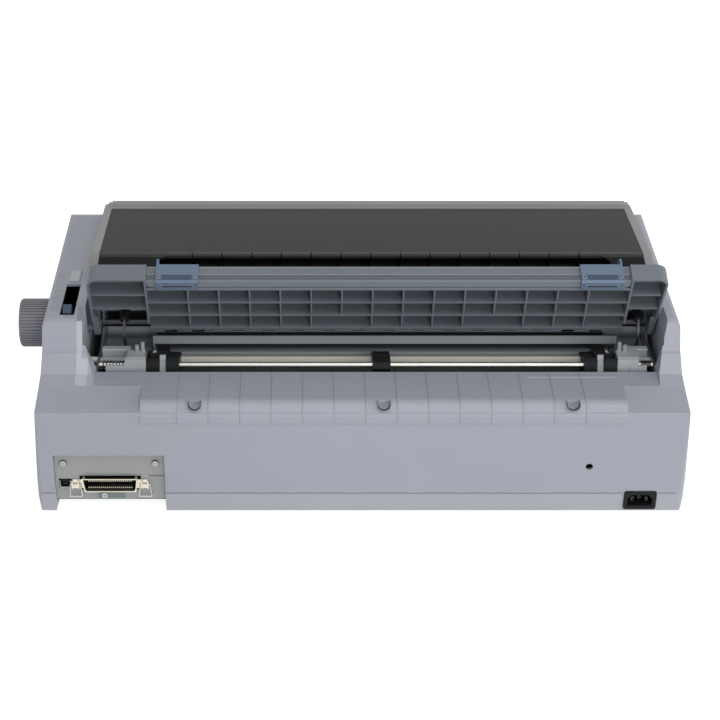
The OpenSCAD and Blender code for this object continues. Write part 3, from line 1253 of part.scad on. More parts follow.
module head_gap_lever() color("#8fa0b4") translate([frame_x1 - 3.4, gap_pin.x, gap_pin.y]) difference() {
    along_x(0, 3) {
        circle(r = 5);
        polygon([[-2.4, 0], [2.4, 0], [3, 34], [-3, 34]]);
    }
    rod_x(-1, 4, [0, 0], 2 + run);
}

// ---------------------------------------------------------------- assembly

lower_case();
upper_case();
rubber_feet();
base_frame();
side_frames();
rear_paper_guide();
exit_guide();
carriage_rod();
carriage_rail();
timing_belt();
carriage_motor();
feed_motor();
main_board();
power_supply();
interface_plate();
interface_bracket();
parallel_shell();
parallel_insert();
usb_port();
power_inlet();
case_screws();
tractor_ends();
tractor_rod();
control_panel();
ribbon_cartridge();
cover_frame();
cover_window();
sheet_guide();
guide_arms();
edge_guide_right();
edge_guide_left();
platen_roller();
platen_shaft();
platen_gear();
platen_knob();
tractor_shaft();
tractor_gear();
tractor_case_right();
tractor_case_left();
pin_belt_right();
pin_belt_left();
sprocket_right();
sprocket_left();
tractor_flap_right();
tractor_flap_left();
tractor_lock_right();
tractor_lock_left();
paper_support();
release_lever();
front_cover();
button_1();
button_2();
button_3();
button_4();
power_switch();
carriage();
print_head();
head_gap_lever();
bail_wire_right();
bail_wire_left();
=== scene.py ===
"""Studio scene of a wide dot matrix printer, seen from behind and above.

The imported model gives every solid. This file dresses each of them with a
procedural finish, adds the small parts that repeat, and sets the light and
the camera. Lengths are metres, +X is the printer's right, +Y its rear.
"""

from __future__ import annotations

import logging
import math
from dataclasses import dataclass
from enum import Enum
from typing import Any, Callable, Iterable

import bmesh
import bpy
from mathutils import Matrix, Vector

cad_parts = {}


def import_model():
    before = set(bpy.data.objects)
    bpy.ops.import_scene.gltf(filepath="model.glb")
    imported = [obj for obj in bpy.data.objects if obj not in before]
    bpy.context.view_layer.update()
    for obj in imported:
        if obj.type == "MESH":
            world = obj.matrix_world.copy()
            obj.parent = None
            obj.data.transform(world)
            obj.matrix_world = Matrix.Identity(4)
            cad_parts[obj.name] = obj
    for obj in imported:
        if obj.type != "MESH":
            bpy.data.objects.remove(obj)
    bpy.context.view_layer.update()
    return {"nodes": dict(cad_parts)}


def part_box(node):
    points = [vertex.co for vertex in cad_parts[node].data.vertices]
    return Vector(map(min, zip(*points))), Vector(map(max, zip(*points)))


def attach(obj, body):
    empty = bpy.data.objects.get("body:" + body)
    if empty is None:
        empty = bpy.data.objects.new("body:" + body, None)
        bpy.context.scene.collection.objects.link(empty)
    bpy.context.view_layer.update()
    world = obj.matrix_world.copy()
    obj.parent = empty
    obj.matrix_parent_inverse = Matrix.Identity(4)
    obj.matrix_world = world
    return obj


log = logging.getLogger("printer")

Colour = tuple[float, float, float]
Point = tuple[float, float]
Triple = tuple[float, float, float]

MM = 0.001
#: Samples of the nodes that soften edges.
EDGE_SAMPLES = 4


def linear(red: int, green: int, blue: int) -> Colour:
    """Turns a display colour into scene-linear values.

    Args:
        red: Red from 0 to 255.
        green: Green from 0 to 255.
        blue: Blue from 0 to 255.

    Returns:
        The three linear values.
    """
    def one(v: float) -> float:
        """Undoes the display curve for one channel."""
        v /= 255
        return v / 12.92 if v <= 0.04045 else ((v + 0.055) / 1.055) ** 2.4

    return one(red), one(green), one(blue)


#: Colour of the dust on faces that look up.
DUST = linear(196, 194, 188)


# --------------------------------------------------------------- node trees


class Wire:
    """An output socket whose arithmetic adds Math nodes to its tree."""

    def __init__(self, tree: "Tree", socket: bpy.types.NodeSocket) -> None:
        """Keeps the socket with the tree that it belongs to."""
        self.tree = tree
        self.socket = socket

    def _maths(self, operation: str, *values: Any) -> "Wire":
        """Adds one Math node that works on the given values or wires."""
        return self.tree.add("ShaderNodeMath", {"operation": operation}, dict(enumerate(values)))

    def __add__(self, other: Any) -> "Wire":
        """Sum."""
        return self._maths("ADD", self, other)

    def __radd__(self, other: Any) -> "Wire":
        """Sum with a number on the left."""
        return self._maths("ADD", other, self)

    def __sub__(self, other: Any) -> "Wire":
        """Difference."""
        return self._maths("SUBTRACT", self, other)

    def __rsub__(self, other: Any) -> "Wire":
        """Difference with a number on the left."""
        return self._maths("SUBTRACT", other, self)

    def __mul__(self, other: Any) -> "Wire":
        """Product."""
        return self._maths("MULTIPLY", self, other)

    def clipped(self) -> "Wire":
        """The value held between 0 and 1."""
        return self.tree.add("ShaderNodeClamp", {}, {0: self})

    def within(self, low: float, high: float) -> "Wire":
        """1 where the value lies between two limits."""
        return self._maths("GREATER_THAN", self, low) * self._maths("LESS_THAN", self, high)

    def marks(self, first: float, pitch: float, width: float) -> "Wire":
        """1 on lines of the given width that repeat at a pitch."""
        turn = self._maths("FRACT", (self - (first - width / 2)) * (1 / pitch))
        return self._maths("LESS_THAN", turn, width / pitch)


class Tree:
    """A shader or geometry node tree under construction."""

    def __init__(self, tree: bpy.types.NodeTree) -> None:
        """Starts from an emptied tree."""
        self.tree = tree
        tree.nodes.clear()

    def add(
        self,
        kind: str,
        settings: dict[str, Any] | None = None,
        sockets: dict[Any, Any] | None = None,
        out: int | str = 0,
    ) -> Wire:
        """Adds a node, its settings first and then its sockets.

        Args:
            kind: The node's type.
            settings: Properties of the node.
            sockets: Values or wires by the input's index or name.
            out: Index or name of the output that is returned.

        Returns:
            The chosen output.
        """
        node = self.tree.nodes.new(kind)
        for key, value in (settings or {}).items():
            setattr(node, key, value)
        for key, value in (sockets or {}).items():
            self.feed(node.inputs[key], value)
        return Wire(self, node.outputs[out] if node.outputs else node.inputs[0])

    def feed(self, socket: bpy.types.NodeSocket, value: Any) -> None:
        """Links a wire to an input, or sets the input's own value."""
        if isinstance(value, Wire):
            self.tree.links.new(value.socket, socket)
        elif isinstance(value, tuple) and len(value) == 3 and socket.type == "RGBA":
            socket.default_value = (*value, 1)
        else:
            socket.default_value = value

    def noise(self, place: Wire, scale: float, detail: float = 2, rough: float = 0.5) -> Wire:
        """A noise value about 0.5 at each place."""
        return self.add(
            "ShaderNodeTexNoise", {},
            {"Vector": place, "Scale": scale, "Detail": detail, "Roughness": rough},
        )

    def blend(self, amount: Any, first: Any, second: Any) -> Wire:
        """A colour between two colours."""
        return self.add(
            "ShaderNodeMix", {"data_type": "RGBA"}, {0: amount, 6: first, 7: second}, out=2
        )

    def place(self) -> Wire:
        """The shaded place, in the object's own frame."""
        return self.add("ShaderNodeTexCoord", out="Object")

    def stretch(self, place: Wire, scale: Triple) -> Wire:
        """A place scaled along each axis."""
        return self.add("ShaderNodeMapping", {}, {"Vector": place, "Scale": scale})

    def softened(self, radius: float) -> Wire:
        """The normal, with edges rounded to a radius in metres."""
        return self.add("ShaderNodeBevel", {"samples": EDGE_SAMPLES}, {"Radius": radius})

    def bump(self, strength: float, distance: float, height: Wire, **base: Wire) -> Wire:
        """A normal bent by a height; Normal may give the one that it starts from."""
        return self.add(
            "ShaderNodeBump", {},
            {"Strength": strength, "Distance": distance, "Height": height, **base},
        )


# ----------------------------------------------------------------- finishes


@dataclass(frozen=True)
class Plastic:
    """Moulded plastic with a fine spark-eroded texture, softened edges and a painted highlight
    along the edges.

    Attributes:
        title: Name of the material.
        colour: Base colour, linear.
        rough: Roughness of the surface.
        grain: Height of the texture in metres.
        cells: Texture cells to the metre.
        round: Radius that the edges are softened to, in metres.
        dust: How much pale dust lies on faces that look up.
        index: Refractive index, lower for a duller face.
    """

    title: str
    colour: Colour
    rough: float = 0.5
    grain: float = 0.00003
    cells: float = 1400
    round: float = 0.0007
    dust: float = 0.05
    index: float = 1.47

    def material(self) -> bpy.types.Material:
        """Builds the material."""
        mat, t = new_material(self.title)
        place = t.place()
        broad = t.noise(place, 7, 3)
        fine = t.noise(place, self.cells, 1, 0.6)
        soft = t.softened(self.round)
        flat = t.add("ShaderNodeNewGeometry", out="True Normal")
        # Mask of the painted edge highlight: 1 where the softened normal turns away from the true
        # one.
        edge = 1 - t.add(
            "ShaderNodeVectorMath", {"operation": "DOT_PRODUCT"}, {0: soft, 1: flat}, out="Value"
        )
        edge = (edge * 5).clipped()
        up = t.add("ShaderNodeSeparateXYZ", {}, {0: flat}, out=2)
        lying = ((up - 0.4) * 1.6).clipped() * (broad * 1.6 - 0.3).clipped() * self.dust
        shade = t.blend(
            (broad * 1.5 - 0.25).clipped(), scaled(self.colour, 0.955), scaled(self.colour, 1.045)
        )
        shade = t.blend(lying, shade, DUST)
        # Painted highlight: the edges are lightened towards 1.45 times the colour.
        shade = t.blend(edge * 0.22, shade, scaled(self.colour, 1.45))
        bump = t.bump(0.5, self.grain, fine, Normal=soft)
        rough = self.rough + (broad - 0.5) * 0.16 + (fine - 0.5) * 0.1
        finish_material(t, shade, rough, bump, {"IOR": self.index})
        return mat


@dataclass(frozen=True)
class SmokedSheet:
    """Smoked clear plastic, glossy, with faint haze and rubbed marks.

    Attributes:
        title: Name of the material.
        colour: Colour of the sheet, linear.
        strip: Colour of the strip behind the crease, linear.
        cover: How much of what lies behind it is hidden.
        strip_y: Where the strip begins and ends, in metres.
        crease: Width of the line at its start, in metres.
        marks_x: X limits of the marks across the strip, in metres.
        first_mark: Place of one of the marks, in metres.
        pitch: Distance between the marks, in metres.
        mark: Width of a mark, in metres.
    """

    title: str
    colour: Colour
    strip: Colour
    cover: float = 0.9
    strip_y: Point = (0.0268, 0.034)
    crease: float = 0.0026
    marks_x: Point = (-0.2455, 0.1625)
    first_mark: float = -0.0242
    pitch: float = 0.03
    mark: float = 0.0013

    def material(self) -> bpy.types.Material:
        """Builds the material."""
        mat, t = new_material(self.title)
        place = t.place()
        haze = t.noise(place, 5, 3)
        rubs = t.noise(t.stretch(place, (6, 60, 60)), 4, 4, 0.7)
        shade = t.blend(
            (haze * 1.6 - 0.3).clipped(), scaled(self.colour, 0.88), scaled(self.colour, 1.12)
        )
        depth = t.add("ShaderNodeSeparateXYZ", {}, {0: place}, out=1)
        across = t.add("ShaderNodeSeparateXYZ", {}, {0: place}, out=0)
        start, end = self.strip_y
        shade = t.blend(depth.within(start, end) * 0.45, shade, self.strip)
        shade = t.blend(depth.within(start, start + self.crease), shade, self.strip)
        shade = t.blend(
            depth.within(start, end) * across.within(*self.marks_x)
            * across.marks(self.first_mark, self.pitch, self.mark),
            shade, scaled(self.colour, 0.3),
        )
        rough = 0.2 + (rubs - 0.5) * 0.14 + (haze - 0.5) * 0.1
        bump = t.bump(0.2, 0.0002, haze)
        finish_material(t, shade, rough, bump, {"IOR": 1.2, "Alpha": self.cover})
        return mat


@dataclass(frozen=True)
class Metal:
    """Metal with drawing lines along one axis and slight tarnish.

    Attributes:
        title: Name of the material.
        colour: Base colour, linear.
        rough: Roughness.
        grain_axis: Index of the axis that the lines run along.
        tarnish: Depth of the darker patches.
        scales: Scale of the lines along the axis and across it.
    """

    title: str
    colour: Colour
    rough: float = 0.28
    grain_axis: int = 0
    tarnish: float = 0.14
    scales: Point = (12.0, 900.0)

    def material(self) -> bpy.types.Material:
        """Builds the material."""
        mat, t = new_material(self.title)
        place = t.place()
        along, across = self.scales
        scale = tuple(along if axis == self.grain_axis else across for axis in range(3))
        lines = t.noise(t.stretch(place, scale), 1, 3, 0.6)
        patch = t.noise(place, 38, 4, 0.6)
        soft = t.softened(0.0003)
        dull = (patch * 1.8 - 0.4).clipped() * self.tarnish
        shade = t.blend(dull, self.colour, scaled(self.colour, 0.55))
        rough = self.rough + (lines - 0.5) * 0.18 + dull * 0.5
        bump = t.bump(0.25, 0.00004, lines, Normal=soft)
        finish_material(t, shade, rough, bump, {"Metallic": 1.0})
        return mat


@dataclass(frozen=True)
class Rubber:
    """Dull rubber with a bloom.

    Attributes:
        title: Name of the material.
        colour: Base colour, linear.
    """

    title: str
    colour: Colour

    def material(self) -> bpy.types.Material:
        """Builds the material."""
        mat, t = new_material(self.title)
        place = t.place()
        bloom = t.noise(place, 60, 4, 0.65)
        pores = t.noise(place, 2600, 1)
        shade = t.blend((bloom * 2 - 0.6).clipped(), self.colour, scaled(self.colour, 1.8))
        bump = t.bump(0.4, 0.00005, pores)
        finish_material(t, shade, 0.78 + (bloom - 0.5) * 0.2, bump, {})
        return mat


@dataclass(frozen=True)
class Board:
    """Circuit board with solder mask, tracks and pads.

    Attributes:
        title: Name of the material.
        colour: Colour of the mask, linear.
    """

    title: str
    colour: Colour

    def material(self) -> bpy.types.Material:
        """Builds the material."""
        mat, t = new_material(self.title)
        place = t.place()
        cells = t.add(
            "ShaderNodeTexVoronoi", {"feature": "DISTANCE_TO_EDGE", "distance": "MANHATTAN"},
            {"Vector": place, "Scale": 160}, out="Distance",
        )
        tracks = (1 - cells * 9).clipped()
        tone = t.noise(place, 30, 3)
        shade = t.blend(tracks * 0.6, self.colour, scaled(self.colour, 1.9))
        shade = t.blend(tone * 0.2, shade, scaled(self.colour, 0.5))
        bump = t.bump(0.3, 0.00005, tracks)
        finish_material(t, shade, 0.35 + (tone - 0.5) * 0.2, bump, {})
        return mat


def scaled(colour: Colour, factor: float) -> Colour:
    """A colour made lighter or darker, held under white."""
    return tuple(min(c * factor, 0.95) for c in colour)  # type: ignore[return-value]


def new_material(title: str) -> tuple[bpy.types.Material, Tree]:
    """A new material and its emptied tree."""
    mat = bpy.data.materials.new(title)
    mat.use_nodes = True
    return mat, Tree(mat.node_tree)


def finish_material(tree: Tree, shade: Any, rough: Any, normal: Any, fixed: dict[str, Any]) -> None:
    """Ends a material in a Principled shader.

    Args:
        tree: The material's tree.
        shade: Base colour.
        rough: Roughness.
        normal: Normal.
        fixed: Values set on the shader's own sockets.
    """
    sockets = {"Base Color": shade, "Roughness": rough, "Normal": normal, **fixed}
    shader = tree.add("ShaderNodeBsdfPrincipled", {}, sockets)
    tree.add("ShaderNodeOutputMaterial", {}, {"Surface": shader})


class Finish(Enum):
    """The finishes of the printer."""

    CASE = Plastic("case_plastic", linear(169, 172, 183), 0.42)
    LOWER = Plastic("lower_case_plastic", linear(174, 177, 184), 0.48)
    COVER = Plastic("cover_plastic", linear(150, 150, 152), 0.45)
    GUIDE = Plastic("guide_plastic", linear(114, 121, 129), 0.5, round=0.0004)
    # Painted shade: a darker copy of the clip colour.
    CLIP_SHADE = Plastic("clip_shade_plastic", linear(84, 100, 124), 0.5, round=0.0002, dust=0.0)
    # Painted shade: a darker copy of the guide colour, for a band of the guide's top.
    SHADE_BAND = Plastic("guide_shade_band_plastic", linear(94, 100, 108), 0.5, round=0.0002, dust=0.0)
    # Painted highlight: a lighter copy of the guide colour, for light lines and a light face on the
    # sheet guide and the clips' lips.
    PAINTED_HIGHLIGHT = Plastic("guide_highlight_plastic", linear(142, 149, 156), 0.45, round=0.0002, dust=0.0)
    INNER = Plastic("inner_plastic", linear(128, 134, 138), 0.5, round=0.0004)
    MOUNT = Plastic("mount_plastic", linear(164, 168, 172), 0.45, round=0.0004)
    CLIP = Plastic("clip_plastic", linear(104, 122, 147), 0.42, round=0.0004)
    # Painted shade: the darkest copy of the clip colour.
    CLIP_DEEP_SHADE = Plastic("clip_deep_shade_plastic", linear(66, 79, 98), 0.5, round=0.0002, dust=0.0)
    LEVER = Plastic("lever_plastic", linear(50, 68, 94), 0.42, round=0.0006)
    KNOB = Plastic("knob_plastic", linear(136, 136, 144), 0.5, round=0.0005)
    PANEL = Plastic("panel_plastic", linear(122, 126, 134), 0.4, round=0.0003)
    KEY = Plastic("key_plastic", linear(92, 96, 104), 0.4, round=0.0004)
    BLACK = Plastic(
        "satin_black", linear(23, 24, 26), 0.48, cells=2200, round=0.0003, dust=0.01, index=1.25
    )
    DARK = Plastic("dark_plastic", linear(58, 56, 57), 0.5, round=0.0003, dust=0.0, index=1.3)
    # Near black: the insert's own colour, and painted shade where it fills the guide's slots, the
    # eyelets' holes and the socket's opening.
    HOLLOW = Plastic("hollow_plastic", linear(10, 10, 11), 0.7, grain=0.0, dust=0.0, index=1.1)
    # Painted shadow: a darker copy of the case colour, lining the dimples.
    SHADE = Plastic("shade_plastic", linear(98, 102, 112), 0.6, round=0.0002, dust=0.0, index=1.3)
    # Lighter copy of the case colour; on the edge beside the well it is a painted highlight.
    RIM = Plastic("rim_plastic", linear(192, 195, 201), 0.42, round=0.0003, dust=0.0)
    # Darker copy of the case colour: a dark joint along the case seam, and a painted shadow under
    # the plate's step.
    SEAM = Plastic("seam_plastic", linear(122, 124, 132), 0.6, round=0.0002, dust=0.0, index=1.3)
    TAB = Plastic("tab_paint", linear(120, 136, 136), 0.45, cells=3000, round=0.0002)
    CREAM = Plastic("cream_plastic", linear(236, 232, 218), 0.4, round=0.0004)
    WINDOW = SmokedSheet("smoked_sheet", linear(24, 24, 25), linear(96, 95, 94))
    RUBBER = Rubber("dull_rubber", linear(38, 38, 40))
    ROD = Metal("ground_steel", linear(186, 186, 181), 0.34)
    SHEET = Metal("zinc_sheet", linear(168, 172, 176), 0.36, 1)
    PLATE = Plastic("plate_paint", linear(165, 166, 166), 0.4, cells=3000, round=0.0002)
    AXLE = Metal("dark_steel", linear(70, 71, 74), 0.4)
    SCREW = Metal("screw_steel", linear(172, 176, 178), 0.3, 2, 0.3)
    SHELL = Metal("tinned_shell", linear(214, 208, 192), 0.34)
    GOLD = Metal("contact_gold", linear(226, 190, 112), 0.25)
    MOTOR = Plastic("motor_paint", linear(56, 58, 60), 0.35, cells=2600, round=0.0004)
    CAST = Metal("cast_alloy", linear(128, 132, 136), 0.5, 2, 0.3)
    MASK = Board("board_mask", linear(40, 92, 58))

    def made(self) -> bpy.types.Material:
        """The finish's material, built on first use."""
        found = bpy.data.materials.get(self.value.title)
        return found or self.value.material()


#: Finish of every solid of the frame.
LOOKS: dict[Finish, tuple[str, ...]] = {
    Finish.CASE: ("upper_case", "front_cover"),
    Finish.LOWER: ("lower_case",),
    Finish.COVER: ("cover_frame",),
    Finish.WINDOW: ("cover_window",),
    Finish.GUIDE: ("sheet_guide",),
    Finish.INNER: ("rear_paper_guide",),
    Finish.MOUNT: ("tractor_ends", "tractor_lock_right", "tractor_lock_left"),
    Finish.CLIP: ("edge_guide_right", "edge_guide_left", "head_gap_lever"),
    Finish.LEVER: ("release_lever",),
    Finish.KNOB: ("platen_knob",),
    Finish.PANEL: ("control_panel",),
    Finish.KEY: ("button_1", "button_2", "button_3", "button_4"),
    Finish.BLACK: (
        "usb_port", "power_inlet", "tractor_case_right", "tractor_case_left",
        "tractor_flap_right", "tractor_flap_left", "paper_support", "carriage", "ribbon_cartridge",
        "power_switch",
    ),
    Finish.DARK: ("exit_guide",),
    Finish.HOLLOW: ("parallel_insert",),
    Finish.CREAM: (
        "tractor_shaft", "platen_gear", "tractor_gear", "pin_belt_right", "pin_belt_left",
        "sprocket_right", "sprocket_left",
    ),
    Finish.RUBBER: ("rubber_feet", "platen_roller", "timing_belt"),
    Finish.ROD: ("carriage_rod", "tractor_rod", "bail_wire_right", "bail_wire_left"),
    Finish.TAB: ("interface_bracket",),
    Finish.AXLE: ("platen_shaft", "guide_arms"),
    Finish.SCREW: ("case_screws",),
    Finish.SHEET: ("base_frame", "side_frames", "carriage_rail"),
    Finish.PLATE: ("interface_plate",),
    Finish.SHELL: ("parallel_shell",),
    Finish.MOTOR: ("carriage_motor", "feed_motor"),
    Finish.CAST: ("print_head",),
    Finish.MASK: ("main_board", "power_supply"),
}


# ------------------------------------------------------------ repeated parts

Shape = Callable[[Tree, dict[str, Wire]], Wire]
ACROSS: Triple = (0.0, math.pi / 2, 0.0)
UPRIGHT: Triple = (math.pi / 2, 0.0, 0.0)
#: Turn of what lies on the sheet guide's sloping top face.
GUIDE_SLOPE: Triple = (math.radians(-21.0), 0.0, 0.0)
#: X limits of the sheet guide's cells, in millimetres.
CELLS: Point = (-273.0, 195.0)
#: X limits of the well's floor, in millimetres.
WELL: Point = (-300.0, 244.0)


def settle(piece: bpy.types.Object, body: str, slot: str) -> bpy.types.Object:
    """Puts a finished piece on its body and reports it."""
    bpy.context.scene.collection.objects.link(piece)
    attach(piece, body)
    log.info("%s: %d faces on %s", piece.name, len(piece.data.polygons), body)
    return piece


@dataclass
class Row:
    """Small solids of one shape, set at given places on one body.

    Attributes:
        name: Name of the piece.
        body: Body that it moves with.
        slot: Not used.
        finish: Its finish.
        sizes: Named sizes, in millimetres.
        shape: Function that draws one solid from the sizes.
        turn: Rotation of each solid, in radians.
    """

    name: str
    body: str
    slot: str
    finish: Finish
    sizes: dict[str, float]
    shape: Shape
    turn: Triple = (0.0, 0.0, 0.0)

    def build(self, places: Iterable[Vector]) -> bpy.types.Object:
        """Sets one solid at each place and returns the finished piece.

        Args:
            places: Centres of the solids.

        Returns:
            The piece, as a plain mesh.
        """
        group = bpy.data.node_groups.new(self.name, "GeometryNodeTree")
        tree = Tree(group)
        sockets = group.interface
        sockets.new_socket(name="Geometry", in_out="INPUT", socket_type="NodeSocketGeometry")
        keys = {
            size: sockets.new_socket(
                name=size, in_out="INPUT", socket_type="NodeSocketFloat"
            ).identifier
            for size in self.sizes
        }
        sockets.new_socket(name="Geometry", in_out="OUTPUT", socket_type="NodeSocketGeometry")
        outputs = tree.add("NodeGroupInput").socket.node.outputs
        solid = self.shape(tree, {size: Wire(tree, outputs[size]) for size in self.sizes})
        spread = tree.add(
            "GeometryNodeInstanceOnPoints", {},
            {"Points": Wire(tree, outputs["Geometry"]), "Instance": solid, "Rotation": self.turn},
        )
        real = tree.add("GeometryNodeRealizeInstances", {}, {0: spread})
        dressed = tree.add(
            "GeometryNodeSetMaterial", {}, {"Geometry": real, "Material": self.finish.made()}
        )
        tree.add("NodeGroupOutput", {}, {0: dressed})

        mesh = bpy.data.meshes.new(self.name + "_places")
        mesh.from_pydata([tuple(p) for p in places], [], [])
        seed = bpy.data.objects.new(self.name + "_seed", mesh)
        bpy.context.scene.collection.objects.link(seed)
        modifier = seed.modifiers.new("Row", "NODES")
        modifier.node_group = group
        for size, value in self.sizes.items():
            modifier[keys[size]] = value * MM
        depsgraph = bpy.context.evaluated_depsgraph_get()
        result = bpy.data.meshes.new_from_object(seed.evaluated_get(depsgraph))
        result.name = self.name
        bpy.data.objects.remove(seed)
        return settle(bpy.data.objects.new(self.name, result), self.body, self.slot)


def bar_shape(tree: Tree, size: dict[str, Wire]) -> Wire:
    """A block of Width, Depth and Height."""
    edges = tree.add(
        "ShaderNodeCombineXYZ", {}, {0: size["Width"], 1: size["Depth"], 2: size["Height"]}
    )
    return tree.add("GeometryNodeMeshCube", {}, {"Size": edges})


def round_wire(tree: Tree, radius: Wire, resolution: int) -> Wire:
    """A circle, as a path or a profile."""
    return tree.add(
        "GeometryNodeCurvePrimitiveCircle", {}, {"Resolution": resolution, "Radius": radius}
    )


def swept(tree: Tree, path: Wire, profile: Wire, caps: bool = True) -> Wire:
    """A profile drawn along a path."""
    return tree.add(
        "GeometryNodeCurveToMesh", {},
        {"Curve": path, "Profile Curve": profile, "Fill Caps": caps},
    )


def arc(tree: Tree, radius: Wire, resolution: int, start: float, sweep: float) -> Wire:
    """Part of a circle, its angles in radians."""
    return tree.add(
        "GeometryNodeCurveArc", {"mode": "RADIUS"},
        {"Resolution": resolution, "Radius": radius, "Start Angle": start, "Sweep Angle": sweep},
    )


def ring_shape(tree: Tree, size: dict[str, Wire]) -> Wire:
    """A round ring of Radius whose wire is 2 x Wire thick."""
    path = round_wire(tree, size["Radius"], 28)
    return swept(tree, path, round_wire(tree, size["Wire"], 8), caps=False)


def clip_shape(tree: Tree, size: dict[str, Wire]) -> Wire:
    """A retaining clip: an open ring of flat strip."""
    strip = tree.add(
        "GeometryNodeCurvePrimitiveQuadrilateral", {},
        {"Width": size["Width"], "Height": size["Thickness"]},
    )
    return swept(tree, arc(tree, size["Radius"], 24, 0.6, 5.1), strip)


def coil_shape(tree: Tree, size: dict[str, Wire]) -> Wire:
    """A coil spring of Radius and Length."""
    path = tree.add(
        "GeometryNodeCurveSpiral", {},
        {"Resolution": 14, "Rotations": 7.0, "Start Radius": size["Radius"],
         "End Radius": size["Radius"], "Height": size["Length"]},
    )
    return swept(tree, path, round_wire(tree, size["Wire"], 6))


def disc_shape(tree: Tree, size: dict[str, Wire]) -> Wire:
    """A short round button."""
    return tree.add(
        "GeometryNodeMeshCylinder", {},
        {"Vertices": 20, "Radius": size["Radius"], "Depth": size["Height"]},
    )


def strip_shape(tree: Tree, size: dict[str, Wire]) -> Wire:
    """A trough: the lower half of a thin tube of Radius and Length along Y."""
    path = tree.add("GeometryNodeCurvePrimitiveLine", {}, {
        "Start": (0.0, 0.0, 0.0),
        "End": tree.add("ShaderNodeCombineXYZ", {}, {1: size["Length"]}),
    })
    sheet = swept(tree, path, arc(tree, size["Radius"], 20, 0.0, math.pi), caps=False)
    return tree.add(
        "GeometryNodeExtrudeMesh", {"mode": "FACES"},
        {"Mesh": sheet, "Offset Scale": size["Thickness"], "Individual": False},
    )


def bar(width: float, depth: float, height: float) -> dict[str, float]:
    """Sizes of a block, in millimetres."""
    return {"Width": width, "Depth": depth, "Height": height}


def corners(node: str) -> tuple[Vector, Vector]:
    """Least and greatest corner of a solid's box."""
    low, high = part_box(node)
    return Vector(low), Vector(high)


def middle(node: str) -> Vector:
    """Centre of a solid's box."""
    low, high = corners(node)
    return (low + high) / 2


def spots(xs: Iterable[float], y: float, z: float) -> list[Vector]:
    """Places at one depth and height, all in millimetres."""
    return [Vector((x * MM, y * MM, z * MM)) for x in xs]


def steps(start: float, stop: float, count: int) -> list[float]:
    """Evenly spaced numbers, both ends included."""
    return [start + (stop - start) * i / (count - 1) for i in range(count)]


@dataclass
class Prism:
    """A solid with one outline all along X, its edges slightly broken.

    Attributes:
        name: Name of the piece.
        body: Body that it moves with.
        slot: Not used.
        finish: Its finish.
        outline: Corners as Y and Z in millimetres, in turn.
        spans: Pairs of X limits in millimetres, one solid for each.
        edge: Width of the broken edges in millimetres.
    """

    name: str
    body: str
    slot: str
    finish: Finish
    outline: tuple[Point, ...]
    spans: tuple[Point, ...]
    edge: float = 0.3

    def build(self) -> bpy.types.Object:
        """Makes the piece and returns it."""
        mesh = bpy.data.meshes.new(self.name)
        form = bmesh.new()
        for span in self.spans:
            near, far = (
                [form.verts.new((x * MM, y * MM, z * MM)) for y, z in self.outline] for x in span
            )
            form.faces.new(near)
            form.faces.new(far[::-1])
            count = len(self.outline)
            for i in range(count):
                j = (i + 1) % count
                form.faces.new((near[j], near[i], far[i], far[j]))
        bmesh.ops.recalc_face_normals(form, faces=form.faces)
        bmesh.ops.bevel(
            form, geom=list(form.edges), offset=self.edge * MM, segments=2, profile=0.5,
            affect="EDGES", clamp_overlap=True,
        )
        form.to_mesh(mesh)
        form.free()
        mesh.materials.append(self.finish.made())
        return settle(bpy.data.objects.new(self.name, mesh), self.body, self.slot)


def slab(y: Point, z: Point) -> tuple[Point, ...]:
    """Outline of a flat bar between two depths and two heights."""
    return (y[0], z[0]), (y[1], z[0]), (y[1], z[1]), (y[0], z[1])


